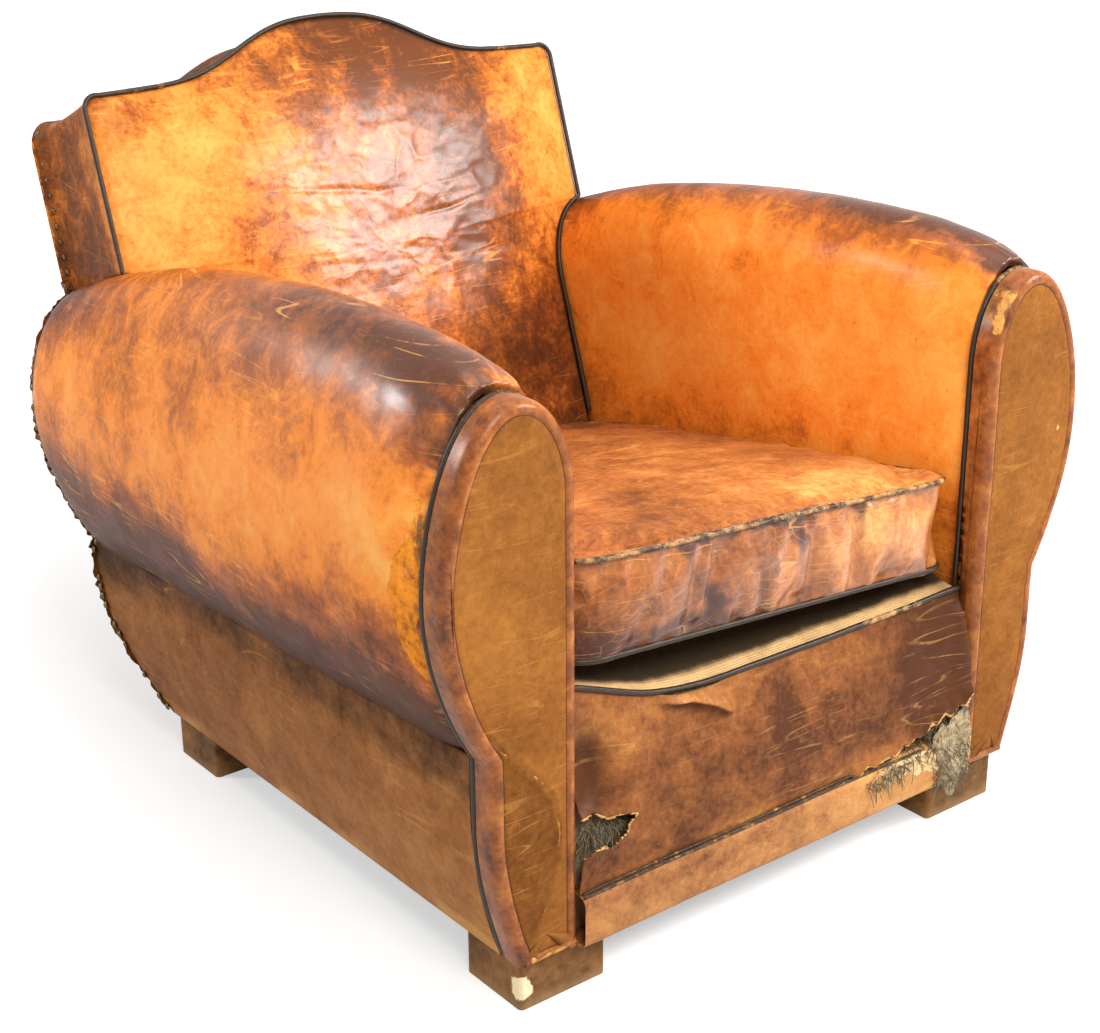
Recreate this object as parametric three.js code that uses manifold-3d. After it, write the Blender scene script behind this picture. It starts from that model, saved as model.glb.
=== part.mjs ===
import * as THREE from 'three';
import { mergeVertices } from 'three/addons/utils/BufferGeometryUtils.js';
import Module from 'manifold-3d';

// Worn leather club chair with rolled arms and a moustache back.
// Millimetres. x runs across the seat, y from front to rear, z up from the floor.
// Left and right are as seen from the front. Right pieces are modelled, left ones mirrored.

// Clearance between touching pieces, and sheet thicknesses
const gap = 0.3;
const leather = 2.7;
const cloth = 1.8;
const pipingRadius = 4.2;

// Feet
const footHeight = 50;
const footWidth = 101;
const footDepth = 85;
const footOuterX = 328;
const frontFootY = 11;
const rearFootY = 578;
const footCorner = 5;

// Seat frame
const railHeight = 62;
const railThickness = 38;
const rearRailY = 650;
const cornerBlockLeg = 60;

// Arms: the section is the same family of curves from the facing to the rear end
const armInnerX = 267;
const armInnerBottom = 180;
const armRidgeX = 329;
const armShoulderDrop = 94;
const armFrontTop = 594;
const armPeakRise = 33;
const armPeakY = 220;
const armRearTop = 520;
const armWidestX = 411;
const armSwell = 8;
const armRiseShape = 0.6;
const armWidestFrontZ = 424;
const armWidestRearZ = 392;
const armSeamX = 363;
const armSeamFrontZ = 268;
const armSeamRearZ = 237;
const armRearY = 775;
const armRearLean = 0.187;
const armPinch = 7;
const armPinchLength = 26;
const armHandles = { innerRise: 0.58, innerTop: 0.56, outerTop: 0.58, wideUpper: 0.46, wideLower: 0.4 };
const armSeamHandle = { across: 0.42, up: 0.2 };
const armPostThickness = 26;
const armPostInset = 10.5;
const armRailWidth = 30;
const armRailDepth = 34;
const armRailBelowRidge = 82;
const armUnderRailWidth = 22;
const armUnderRailDepth = 26;
const armRearBoard = 18;

// Facings and the lower outside panels
const facingThickness = 26;
const facingRound = 10;
const sideBottomX = 333;
const sideFlareHeight = 150;

// Back
const backLean = 0.339;
const backFrontY = 726;
const backFrontZ = 559;
const backHalfWidth = 320;
const backCornerZ = 741;
const backCornerRound = 16;
const backPeakRise = 53;
const backPeakHalfWidth = 140;
const backShoulderSlope = 0.02;
const backBottomZ = 205;
const backThickness = 136;
const backThickening = 0.1;
const backCrown = 34;
const backSideSwell = 5;
const backRearRound = 12;
const backRearDrop = 7;
const backCutDepth = 1.12;
const backMiddleZ = 533;
const backPostTopDrop = 22;
const backPostWidth = 30;
const backPostDepth = 36;
const backBoard = 20;
const crestDepth = 92;
const lowerBackRailZ = 285;
const lowerBackRailHeight = 60;

// Outside back below the arms
const outsideBackCurveZ = 240;
const outsideBackBottomY = 661;
const outsideBackCurveY = 778;
const outsideBackCurveShape = 0.8;

// Sprung seat
const seatLipZ = 259;
const seatLipRise = 30;
const seatRamp = 96;
const springColumns = 3;
const springRows = 3;
const springWire = 2;
const springEndRadius = 36;
const springWaist = 0.62;
const springTurns = 4;
const springSteps = 6;
const webbingWidth = 50;
const webbingPitchX = 110;
const webbingPitchY = 118;
const seatStuffingThickness = 22;
const springFrontInset = 110;
const tackMargin = 6;
const dustClothNotch = 4;

// Loose seat cushion
const cushionLeftX = -256;
const cushionRightX = 244;
const cushionFrontY = 22;
const cushionDepth = 574;
const cushionCorner = 34;
const cushionThickness = 104;
const cushionUndersideZ = 305.5;
const cushionSideTilt = -0.069;
const cushionRearSlope = -0.158;
const cushionCrown = 22;
const cushionSideSwell = 7;

// Front panel and band
const frontPanelLean = 20;
const frontPanelSag = 5;
const bandFrontY = -9;
const bandBottomZ = 50;
const bandTopZ = 104;
const bandRound = 4.5;
const frontStuffingDepth = 12;
const tearWander = 7;
const cornerTearX = 100;
const cornerTearZ = 184;
const edgeTearTipX = -205;
const edgeTearLowZ = 150;
const edgeTearHighZ = 183;

// Shape tools

const wasm = await Module();
wasm.setup();

const at = (x, y, z) => new THREE.Vector3(x, y, z);
const mix = THREE.MathUtils.lerp;
const smooth = THREE.MathUtils.smoothstep;

// Keep only positions, with shared corners merged
function bare(geometry) {
  const copy = geometry.clone();
  for (const name of ['normal', 'uv']) {
    copy.deleteAttribute(name);
  }
  return mergeVertices(copy, 1e-4);
}

// Turn the faces of a closed mesh outward, judged by its signed volume
function outward(geometry) {
  const solid = bare(geometry);
  const position = solid.attributes.position;
  const index = solid.index.array;
  const a = new THREE.Vector3();
  const b = new THREE.Vector3();
  const c = new THREE.Vector3();
  let volume = 0;
  for (let i = 0; i < index.length; i += 3) {
    a.fromBufferAttribute(position, index[i]);
    b.fromBufferAttribute(position, index[i + 1]);
    c.fromBufferAttribute(position, index[i + 2]);
    volume += a.dot(b.cross(c));
  }
  if (volume < 0) {
    for (let i = 0; i < index.length; i += 3) {
      [index[i], index[i + 1]] = [index[i + 1], index[i]];
    }
  }
  return solid;
}

// Copy across the middle plane, its faces turned to stay outward
function mirrored(geometry) {
  const copy = geometry.clone().scale(-1, 1, 1);
  const index = copy.index.array;
  for (let i = 0; i < index.length; i += 3) {
    [index[i], index[i + 1]] = [index[i + 1], index[i]];
  }
  return copy;
}

// Skin closed rings of equal even count; each end is closed by pairing its points across.
// A folded skin runs out along one face and back along the other, and splits both faces alike
function skin(rings, folded = false) {
  const count = rings[0].length;
  const faces = [];
  for (let r = 0; r + 1 < rings.length; r++) {
    for (let i = 0; i < count; i++) {
      const a = r * count + i;
      const b = r * count + ((i + 1) % count);
      if (folded && i >= count / 2) {
        faces.push(a, b, a + count, b, b + count, a + count);
      } else {
        faces.push(a, b, b + count, a, b + count, a + count);
      }
    }
  }
  const last = (rings.length - 1) * count;
  for (let i = 0; i + 1 < count / 2; i++) {
    const j = count - 1 - i;
    faces.push(i, j, j - 1, i, j - 1, i + 1);
    faces.push(last + i, last + j - 1, last + j, last + i, last + i + 1, last + j - 1);
  }
  const geometry = new THREE.BufferGeometry();
  const positions = rings.flat().flatMap((p) => [p.x, p.y, p.z]);
  geometry.setAttribute('position', new THREE.Float32BufferAttribute(positions, 3));
  geometry.setIndex(faces);
  return outward(geometry);
}

// Even steps from 0 to 1
const shares = (count) => [...Array(count + 1).keys()].map((i) => i / count);

// Sheet between an outer and an inner surface, each a function of a column and a row value
function sheet(outer, inner, columns, rows) {
  return skin(rows.map((v) => [
    ...columns.map((u) => outer(u, v)),
    ...columns.map((u) => inner(u, v)).reverse(),
  ]), true);
}

// Straight-sided block between two corners
function block(low, high) {
  const size = high.clone().sub(low);
  const middle = low.clone().add(high).multiplyScalar(0.5);
  return bare(new THREE.BoxGeometry(size.x, size.y, size.z).translate(middle.x, middle.y, middle.z));
}

// Beam along y whose two end sections have their own height
function beam(x0, x1, front, rear) {
  const section = (end) => [
    at(x0, end.y, end.low),
    at(x1, end.y, end.low),
    at(x1, end.y, end.high),
    at(x0, end.y, end.high),
  ];
  return skin([section(front), section(rear)]);
}

// Plate cut from an outline in the x and z plane, its front face at y
function plate(outline, y, thickness) {
  const shape = new THREE.Shape(outline);
  const geometry = new THREE.ExtrudeGeometry(shape, { depth: thickness, bevelEnabled: false, steps: 1 });
  geometry.rotateX(Math.PI / 2);
  return outward(geometry.translate(0, y + thickness, 0));
}

// Round section with a few sides
function roundSection(radius, sides) {
  const angles = shares(sides).slice(1).map((share) => share * Math.PI * 2);
  return new THREE.Shape(angles.map((a) => new THREE.Vector2(radius * Math.cos(a), radius * Math.sin(a))));
}

// Piping through the given points, with one step to each
function cord(points) {
  const path = new THREE.CatmullRomCurve3(points, false, 'centripetal');
  path.getUtoTmapping = (share) => share;
  const settings = { steps: points.length - 1, extrudePath: path, bevelEnabled: false };
  return outward(new THREE.ExtrudeGeometry(roundSection(pipingRadius, 5), settings));
}

// Solid for a boolean, and back
function toSolid(geometry) {
  const source = outward(geometry);
  return new wasm.Manifold(new wasm.Mesh({
    numProp: 3,
    vertProperties: source.attributes.position.array,
    triVerts: new Uint32Array(source.index.array),
  }));
}

function fromSolid(solid) {
  const mesh = solid.getMesh();
  const geometry = new THREE.BufferGeometry();
  geometry.setAttribute('position', new THREE.BufferAttribute(mesh.vertProperties, 3));
  geometry.setIndex(new THREE.BufferAttribute(mesh.triVerts, 1));
  return geometry;
}

// Move each point of an open or closed flat line sideways, to its right for a positive distance
function offsetLine(points, distance, closed = false) {
  const count = points.length;
  return points.map((point, i) => {
    const before = points[closed ? (i + count - 1) % count : Math.max(i - 1, 0)];
    const after = points[closed ? (i + 1) % count : Math.min(i + 1, count - 1)];
    const along = after.clone().sub(before).normalize();
    return new THREE.Vector2(point.x + along.y * distance, point.y - along.x * distance);
  });
}

// Arm section

const armFrontY = facingThickness + 2 * pipingRadius + 2 * gap;

// Where the leaning rear end of the arm meets its ridge
const armRidgeRearY = armRearY + armRearLean * (armRearTop - armSeamRearZ);

// Height of the ridge: a quick rise behind the facing, then a long fall to the rear
function ridgeZ(y) {
  const peak = armFrontTop + armPeakRise;
  if (y < armPeakY) {
    return mix(armFrontTop, peak, Math.pow(Math.sin((Math.PI / 2) * (y / armPeakY)), armRiseShape));
  }
  const fall = (y - armPeakY) / (armRidgeRearY - armPeakY);
  return mix(peak, armRearTop, fall * fall);
}

const armShare = (y) => y / armRidgeRearY;
const seamZ = (y) => mix(armSeamFrontZ, armSeamRearZ, armShare(y));
const armEndY = (z) => Math.min(armRearY + armRearLean * (z - armSeamRearZ), outsideBackY(z));

// Outside line of the lower arm front and side panel: it tucks in towards the feet
function sideX(z) {
  const share = THREE.MathUtils.clamp((z - footHeight) / sideFlareHeight, 0, 1);
  return sideBottomX + (armSeamX - sideBottomX) * Math.sin((Math.PI / 2) * share);
}

// Points from the foot of the inner wall, over the ridge and round the bulge to the seam below it
function armLine(y, bottomZ = armInnerBottom) {
  const top = ridgeZ(y);
  const widest = armWidestX + armSwell * Math.sin(Math.PI * armShare(y));
  const widestZ = mix(armWidestFrontZ, armWidestRearZ, armShare(y));
  const shoulder = top - armShoulderDrop;
  const reach = widest - armRidgeX;
  const wall = new THREE.LineCurve(
    new THREE.Vector2(armInnerX, bottomZ),
    new THREE.Vector2(armInnerX, shoulder),
  );
  const arch = new THREE.CubicBezierCurve(
    wall.v2,
    new THREE.Vector2(armInnerX, shoulder + armShoulderDrop * armHandles.innerRise),
    new THREE.Vector2(mix(armRidgeX, armInnerX, armHandles.innerTop), top),
    new THREE.Vector2(armRidgeX, top),
  );
  const bulge = new THREE.CubicBezierCurve(
    arch.v3,
    new THREE.Vector2(armRidgeX + reach * armHandles.outerTop, top),
    new THREE.Vector2(widest, mix(widestZ, top, armHandles.wideUpper)),
    new THREE.Vector2(widest, widestZ),
  );
  const tuck = new THREE.CubicBezierCurve(
    bulge.v3,
    new THREE.Vector2(widest, mix(widestZ, seamZ(y), armHandles.wideLower)),
    new THREE.Vector2(mix(armSeamX, widest, armSeamHandle.across), mix(seamZ(y), widestZ, armSeamHandle.up)),
    new THREE.Vector2(armSeamX, seamZ(y)),
  );
  return [
    ...wall.getPoints(3).slice(0, 3),
    ...arch.getPoints(5).slice(0, 5),
    ...bulge.getPoints(6).slice(0, 6),
    ...tuck.getPoints(5),
  ];
}

// Share of the length at each station: close together where the leather swells behind the piping
const armStations = [0, 0.02, 0.05, 0.1, 0.17, 0.26, 0.38, 0.52, 0.66, 0.8, 0.93, 1];

// Inset of the cover at its pinched ends
function pinch(y) {
  const front = armPinch * Math.exp(-(y - armFrontY) / armPinchLength);
  const rear = armPinch * Math.exp(-(armRidgeRearY - y) / (armPinchLength / 2));
  return front + Math.min(rear, armPinch);
}

// Section of the cover at a share of its length, moved inward by an inset
function armSection(share, inset, bottomZ = armInnerBottom) {
  const y = mix(armFrontY, armRidgeRearY, share);
  const line = offsetLine(armLine(y, bottomZ), pinch(y) + inset);
  return line.map((p) => at(p.x, mix(armFrontY, armEndY(p.y), share), p.y));
}

// Facing outline: the arm section at the very front, carried down to the foot
function facingOutline(inset = 0, bottomZ = footHeight + gap) {
  const arm = armLine(0, bottomZ);
  const lowerSteps = [0.2, 0.45, 0.72, 1];
  const lower = lowerSteps.map((s) => {
    const z = mix(armSeamFrontZ, bottomZ, s);
    return new THREE.Vector2(sideX(z), z);
  });
  const outline = [...arm, ...lower];
  const moved = offsetLine(outline, inset);
  moved[0].y = bottomZ;
  moved[moved.length - 1].y = bottomZ;
  return moved;
}

// Arm pieces

// Leather-covered board on the arm front, its outer edge rolled over
function armFacing() {
  const rings = [
    { y: facingThickness, inset: 0 },
    { y: facingRound, inset: 0 },
    { y: facingRound * 0.3, inset: facingRound * 0.3 },
    { y: 0, inset: facingRound },
  ];
  return skin(rings.map((ring) => facingOutline(ring.inset, footHeight + gap + ring.inset * 0.4)
    .map((p) => at(p.x, ring.y, p.y))));
}

// Shaped front post inside the arm, standing on the foot
function armPost() {
  return plate(facingOutline(armPostInset), facingThickness + gap, armPostThickness);
}

const armStuffingY = facingThickness + 2 * gap + armPostThickness;

// Cover leather: open underneath, front edge at the piping, rear edge at the outside back
function armCover() {
  return skin(armStations.map((share) => [
    ...armSection(share, 0),
    ...armSection(share, leather).reverse(),
  ]), true);
}

// Line of the rear board's front face, where the stuffing ends
const rearBoardY = (z) => armEndY(z) - gap - armRearBoard;

// Height of the middle of the top rail, level with the ridge at the front and following it down
function topRailZ(y) {
  return mix(armFrontTop, armRearTop, armShare(y)) - armRailBelowRidge;
}

function armTopRailShape(clearance = 0, startY = armStuffingY) {
  const half = armRailDepth / 2 + clearance;
  const end = (y) => ({ y, low: topRailZ(y) - half, high: topRailZ(y) + half });
  const x0 = armRidgeX - armRailWidth / 2 - clearance;
  return beam(x0, x0 + armRailWidth + 2 * clearance, end(startY), end(armRearY * 1.2));
}

// Stuffing of the arm between post and rear board, holed for the rails that run through it
function armStuffing() {
  const bulk = skin(armStations.map((share) => armSection(share, leather + gap)));
  const front = block(at(0, 0, 0), at(armWidestX * 2, armStuffingY, armFrontTop * 2));
  return fromSolid(toSolid(bulk)
    .subtract(toSolid(front))
    .subtract(behind(rearBoardY, gap))
    .subtract(toSolid(armTopRailShape(gap, 0)))
    .subtract(toSolid(armUnderRailShape(gap, 0))));
}

function armTopRail() {
  return fromSolid(toSolid(armTopRailShape()).subtract(behind(rearBoardY, gap)));
}

// Everything behind a rear line that changes with height, as a solid for cutting
function behind(rearLine, clearance) {
  const wide = armWidestX * 2;
  const section = (z) => {
    const y = rearLine(z) - clearance;
    return [at(-wide, y, z), at(wide, y, z), at(wide, armRearY * 2, z), at(-wide, armRearY * 2, z)];
  };
  const heights = [0, ...lowerHeights, outsideBackCurveZ, armFrontTop * 2];
  return toSolid(skin(heights.map(section)));
}

// Rail under the bulge that carries the seam of cover and side panel
function armUnderRailShape(clearance = 0, startY = armStuffingY) {
  const x1 = armSeamX - leather - 2 * gap - armPinch / 2;
  const drop = leather + 2 * gap;
  const section = (y) => {
    const z = seamZ(y) - drop;
    return { y, low: z - armUnderRailDepth - clearance, high: z + clearance };
  };
  return beam(x1 - armUnderRailWidth - clearance, x1 + clearance, section(startY), section(armRearY * 1.2));
}

function armUnderRail() {
  return fromSolid(toSolid(armUnderRailShape()).subtract(behind(rearBoardY, gap)));
}

// Board that holds the rear end of the arm to its outline
function rearArmBoard() {
  const face = (line, offset) => line.map((p) => at(p.x, armEndY(p.z) - offset, p.z));
  const section = armSection(1, leather + gap);
  return skin([face(section, gap), face(section, armRearBoard)]);
}

// Piping in the joint between facing and cover, round the whole outline but the bottom
function armPiping() {
  const y = facingThickness + gap + pipingRadius;
  const line = facingOutline(pipingRadius + gap);
  line[0].y = railBottom + railHeight + gap + pipingRadius;
  return cord(line.map((p) => at(p.x, y, p.y)));
}

// Rear line of the chair side: straight and raked above, curved in to the rear feet below
function outsideBackY(z) {
  if (z >= outsideBackCurveZ) {
    const top = backSurface(backCornerZ - 20, 1);
    const slope = (top.y - outsideBackCurveY) / (top.z - outsideBackCurveZ);
    return outsideBackCurveY + slope * (z - outsideBackCurveZ);
  }
  const share = Math.max((z - footHeight) / (outsideBackCurveZ - footHeight), 0);
  const bent = Math.pow(Math.sin((Math.PI / 2) * share), outsideBackCurveShape);
  return mix(outsideBackBottomY, outsideBackCurveY, bent);
}

// Heights of the lower outside panels, closer together where they curve in to the feet
const lowerHeights = [0, 0.09, 0.2, 0.34, 0.5, 0.74, 1].map((share) => (
  mix(footHeight + gap, armSeamRearZ - leather, share)));

// Lower outside panel, tacked under the bulge and along the bottom
function sidePanel() {
  const point = (offset) => (u, z) => {
    const y = mix(armFrontY, armEndY(z) - gap, u);
    const rise = (seamZ(y) - armSeamRearZ) * ((z - footHeight) / (armSeamRearZ - footHeight));
    return at(sideX(z + rise) - offset, y, z + rise);
  };
  return sheet(point(0), point(leather), shares(6), lowerHeights);
}

// Back

const leanAngle = Math.atan(backLean);

// Point on the middle line of the back: front height z, and depth 0 at the front, 1 at the rear
function backSurface(z, depth) {
  const thick = backThickness + (backCornerZ - z) * backThickening;
  const y = backFrontY + backLean * (z - backFrontZ);
  return {
    y: y + thick * depth * Math.cos(leanAngle),
    z: z - thick * depth * Math.sin(leanAngle) - backRearDrop * depth * depth,
  };
}

// Top edge of the back: a rounded peak between two nearly level shoulders
function backTopZ(x) {
  const peak = backPeakRise * Math.exp(-Math.pow(Math.abs(x) / backPeakHalfWidth, 3));
  return backCornerZ + 5 + peak - backShoulderSlope * Math.abs(x);
}

// Height where the arm ridge meets the front of the back
const meetZ = ridgeZ(backFrontY - 12);

// Half width: between the arms below, then over their rolled tops to the full width
function backHalf(z) {
  const share = THREE.MathUtils.clamp((z - meetZ + armShoulderDrop) / armShoulderDrop, 0, 1);
  return Math.min(mix(armRidgeX, armInnerX, Math.sqrt(1 - share * share)) - gap, backHalfWidth);
}

// Right half of the outline from the bottom up to the top middle
function backHalfOutline(inset = 0) {
  const rolled = [0, 26, 46, 62, 76].map((degrees) => (
    meetZ - armShoulderDrop * (1 - Math.sin(THREE.MathUtils.degToRad(degrees)))));
  const lastZ = backCornerZ - backCornerRound;
  const straight = [backBottomZ, (backBottomZ + rolled[0]) / 2];
  const heights = [...straight, ...rolled, meetZ + pipingRadius, (meetZ + lastZ) / 2, lastZ];
  const side = heights.map((z) => new THREE.Vector2(backHalf(z), z));
  const corner = [30, 60].map((degrees) => {
    const angle = THREE.MathUtils.degToRad(degrees);
    const x = backHalfWidth - backCornerRound * (1 - Math.cos(angle));
    return new THREE.Vector2(x, backCornerZ - backCornerRound * (1 - Math.sin(angle)));
  });
  const topSteps = [0.95, 0.72, 0.54, 0.42, 0.3, 0.18, 0.06];
  const top = topSteps.map((s) => new THREE.Vector2(backHalfWidth * s, backTopZ(backHalfWidth * s)));
  return offsetLine([...side, ...corner, ...top], -inset);
}

// Closed ring of the back at a depth; scale draws it in towards its middle for the crown
function backRing(depth, { inset = 0, scale = 1, forward = 0, swell = 0, back = 0 } = {}) {
  const half = backHalfOutline(inset - swell);
  const place = (side) => (p) => {
    const z = mix(backMiddleZ, p.y, scale);
    const base = backSurface(z, depth);
    const lift = -forward - back;
    return at(side * p.x * scale, base.y + lift * Math.cos(leanAngle), base.z - lift * Math.sin(leanAngle));
  };
  return [...half.map(place(1)), ...half.map(place(-1)).reverse()];
}

// Crowned body of the back between two depths
function backBody(inset, rearDepth, rearExtra = 0) {
  const crown = [
    { scale: 0.22, forward: backCrown },
    { scale: 0.5, forward: backCrown * 0.86 },
    { scale: 0.78, forward: backCrown * 0.5 },
    { scale: 0.94, forward: backCrown * 0.16 },
  ];
  const front = crown.map((c) => backRing(0, { ...c, forward: c.forward - inset, inset }));
  return skin([
    ...front,
    backRing(0, { inset, forward: -inset }),
    backRing(0.5, { inset, swell: backSideSwell }),
    backRing(rearDepth, { inset: inset + backRearRound * 0.75, back: -rearExtra }),
  ]);
}

// Room that the arms take, for trimming the back: full to the rear end and on past it
function armRoom(clearance) {
  const unpinched = 0.98;
  const pastRear = 1.3;
  const right = skin([...armStations.slice(6), pastRear].map((share) => {
    const section = armSection(Math.min(share, unpinched), -clearance, backBottomZ / 2);
    return section.map((p) => at(p.x, mix(armFrontY, armEndY(p.z), share), p.z));
  }));
  return toSolid(right).add(toSolid(mirrored(right)));
}

// Cover leather of the back: face, border and top, open to the rear and below
function backCover() {
  const wide = armWidestX * 2;
  const below = toSolid(block(at(-wide, 0, 0), at(wide, armRearY * 2, backBottomZ)));
  const body = toSolid(backBody(0, backCutDepth))
    .subtract(armRoom(gap))
    .subtract(behind(outsideBackY, 3 * gap))
    .subtract(below);
  const hollow = toSolid(backBody(leather, backCutDepth, backBoard)).subtract(armRoom(gap + leather));
  return fromSolid(body.subtract(hollow));
}

// Stuffing between the cover and the posts
function backStuffing() {
  const body = toSolid(backBody(leather + gap, 1)).subtract(armRoom(gap * 2 + leather));
  return fromSolid(body.subtract(behind(postFrontY, gap)));
}

const postBottomZ = footHeight + gap + railHeight + gap;
const postRearY = (z) => outsideBackY(z) - leather - gap - backBoard - gap;

// Front line of the back posts: they widen towards the rear seat rail
function postFrontY(z) {
  const share = THREE.MathUtils.clamp((z - postBottomZ) / (outsideBackCurveZ - postBottomZ), 0, 1);
  return z > outsideBackCurveZ
    ? postRearY(z) - backPostDepth
    : mix(rearRailY - railThickness, postRearY(outsideBackCurveZ) - backPostDepth, share);
}

// Raked post, wider at its foot, from the rear seat rail to the crest
function backPost() {
  const x1 = armInnerX - 3 * gap - leather;
  const x0 = x1 - backPostWidth;
  const topZ = backSurface(backCornerZ, 1).z - backPostTopDrop;
  const ring = (z) => [
    at(x0, postFrontY(z), z),
    at(x1, postFrontY(z), z),
    at(x1, postRearY(z), z),
    at(x0, postRearY(z), z),
  ];
  return skin([postBottomZ, outsideBackCurveZ, topZ].map(ring));
}

// Sawn crest board with the moustache outline, behind the tops of the posts
function crestRail() {
  const face = (offset) => (u, v) => {
    const x = mix(-1, 1, u) * (backHalfWidth - leather - gap - backRearRound);
    const topZ = backSurface(backTopZ(x), 1).z - leather - gap - backRearRound;
    const z = mix(topZ - crestDepth, topZ, v);
    return at(x, outsideBackY(z) - leather - gap - offset, z);
  };
  return sheet(face(0), face(backBoard), shares(12), [0, 1]);
}

function lowerBackRail() {
  const x = armInnerX - 2 * gap - leather - backRearRound;
  const section = (z) => {
    const rear = outsideBackY(z) - leather - gap;
    return [at(-x, rear - backBoard, z), at(x, rear - backBoard, z), at(x, rear, z), at(-x, rear, z)];
  };
  return skin([section(lowerBackRailZ), section(lowerBackRailZ + lowerBackRailHeight)]);
}

// Outside back: one panel from the crest to the bottom rail, its sides stepping out round the arm ends
function outsideBack() {
  const armEndTop = armRearTop - armPinch;
  const armEndShares = [0, 0.14, 0.34, 0.56, 0.77, 0.91, 0.985];
  const rows = [...lowerHeights, ...armEndShares.map((share) => mix(armSeamRearZ, armEndTop, share))];
  const flatHalf = backHalfWidth - backRearRound / 2;
  const ring = (z, half, sideY, topZ = () => z) => {
    const flat = Math.min(flatHalf, half) - backRearRound;
    const right = [flat * 0.3, flat * 0.65, flat, (flat + half) / 2, half];
    const across = [...right.map((x) => -x).reverse(), ...right];
    const face = (offset) => across.map((x) => {
      const height = topZ(x);
      const bend = smooth(Math.abs(x), backHalfWidth, armRidgeX + backRearRound);
      const y = mix(outsideBackY(height), sideY(height), bend);
      return at(x, y + gap + leather - offset, height);
    });
    return [...face(0), ...face(leather).reverse()];
  };
  const armEdge = offsetLine(armLine(armRidgeRearY), armPinch).slice(8);
  const edgeX = (z) => {
    if (z <= armSeamRearZ) {
      return sideX(z);
    }
    const k = armEdge.findIndex((p) => p.y < z);
    if (k <= 0) {
      return backHalfWidth;
    }
    const [a, b] = [armEdge[k - 1], armEdge[k]];
    return mix(b.x, a.x, (z - b.y) / (a.y - b.y));
  };
  const lower = rows.map((z) => ring(z, edgeX(z) - gap, armEndY));
  const topEdge = (x) => backSurface(backTopZ(x), 1).z - backRearRound / 2;
  const crest = (share) => (x) => mix(armEndTop + 2 * gap, topEdge(x), share);
  const upper = [0, 0.5, 1].map((share) => ring(0, flatHalf, outsideBackY, crest(share)));
  return skin([...lower, ...upper], true);
}

// Point of the arm's inner face or roll, clear of it, where the front plane of the back meets it
function armMeetsBack(k, clearance, forward) {
  let point = new THREE.Vector2(armInnerX, meetZ);
  for (let round = 0; round < 6; round++) {
    const y = backSurface(point.y, 0).y - forward;
    const share = (y - armFrontY) / (armEndY(point.y) - armFrontY);
    const line = armLine(mix(armFrontY, armRidgeRearY, share), seatPipingFoot);
    point = offsetLine(line, -clearance)[k];
  }
  return point;
}

// Piping along the front edge of the back: up between arm and back, over the arm, round the crest
function backPiping() {
  const edge = pipingRadius + 2 * gap;
  const clear = pipingRadius + 2 * gap;
  const backEdge = backHalfOutline(-edge).slice(8);
  const arm = [...Array(8).keys()].map((k) => armMeetsBack(k, clear, clear));
  const half = [...arm, ...backEdge];
  const place = (side) => (p, k) => {
    const base = backSurface(p.y, 0);
    const forward = k < arm.length ? clear * 1.9 : edge;
    return at(side * p.x, base.y - forward, base.z);
  };
  return cord([...half.map(place(1)), ...half.map(place(-1)).reverse()]);
}

// Seat

const frontRailY = facingThickness + gap;
const seatFrontY = frontPanelLean + leather + gap;
const seatPipingFoot = cushionUndersideZ;

// Underside of the loose cushion
function cushionUnderside(x, y) {
  return cushionUndersideZ + cushionSideTilt * x + cushionRearSlope * (y - cushionFrontY);
}

// Front edge of the sprung seat, pulled up at the left
function lipZ(x) {
  return seatLipZ + seatLipRise * Math.pow(smooth(-x, 60, armInnerX + 60), 1.5) * 2;
}

// Top of the deck: it ramps from the front edge up to the cushion
function deckZ(x, y) {
  const share = smooth(y, seatFrontY, seatFrontY + seatRamp);
  return mix(lipZ(x), cushionUnderside(x, y) - gap, share);
}

// Rows of the seat layers: at the front edge, behind the front stuffing, then wider apart
const seatSteps = [0, 1, 2.2, 3.6, 5.2, 8, 22, 46];
const seatRows = seatSteps.map((step) => seatFrontY + step * (frontStuffingDepth + gap));

// Shares of the seat width, closer together where the front edge is pulled up at the left
const seatColumns = [-1, -0.8, -0.64, -0.48, -0.34, -0.2, 0.2, 0.6, 1];

// Layer of the seat between two depths below the deck, from the given row to the back
function seatLayer(top, bottom, firstRow) {
  const half = armInnerX - gap;
  const face = (depth) => (u, y) => at(u * half, y, deckZ(u * half, y) - depth);
  return sheet(face(top), face(bottom), seatColumns, seatRows.slice(firstRow));
}

const stuffingTop = leather + gap;
const stuffingBottom = stuffingTop + seatStuffingThickness;
const clothBottom = stuffingBottom + gap + cloth;
const webbingTop = footHeight;

// Path of a coil spring that narrows at its waist
class SpringPath extends THREE.Curve {
  constructor(x, y, low, high) {
    super();
    Object.assign(this, { x, y, low, high });
  }

  getPoint(t) {
    const angle = t * springTurns * Math.PI * 2;
    const radius = springEndRadius * mix(1, springWaist, Math.sin(Math.PI * t));
    const z = mix(this.low, this.high, t);
    return at(this.x + radius * Math.cos(angle), this.y + radius * Math.sin(angle), z);
  }
}

function seatSpring(column, row) {
  const x = (column - (springColumns - 1) / 2) * webbingPitchX;
  const y = springFrontY + row * webbingPitchY;
  const reach = springEndRadius + springWire;
  const corners = [[-reach, -reach], [reach, -reach], [-reach, reach], [reach, reach]];
  const ceiling = Math.min(...corners.map(([dx, dy]) => deckZ(x + dx, y + dy)));
  const low = webbingTop + springWire + gap;
  const high = ceiling - clothBottom - springWire - gap;
  const path = new SpringPath(x, y, low, high);
  const settings = { steps: springTurns * springSteps, extrudePath: path, bevelEnabled: false };
  return outward(new THREE.ExtrudeGeometry(roundSection(springWire, 4), settings));
}

const springFrontY = frontRailY + railThickness + springFrontInset;

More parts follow.
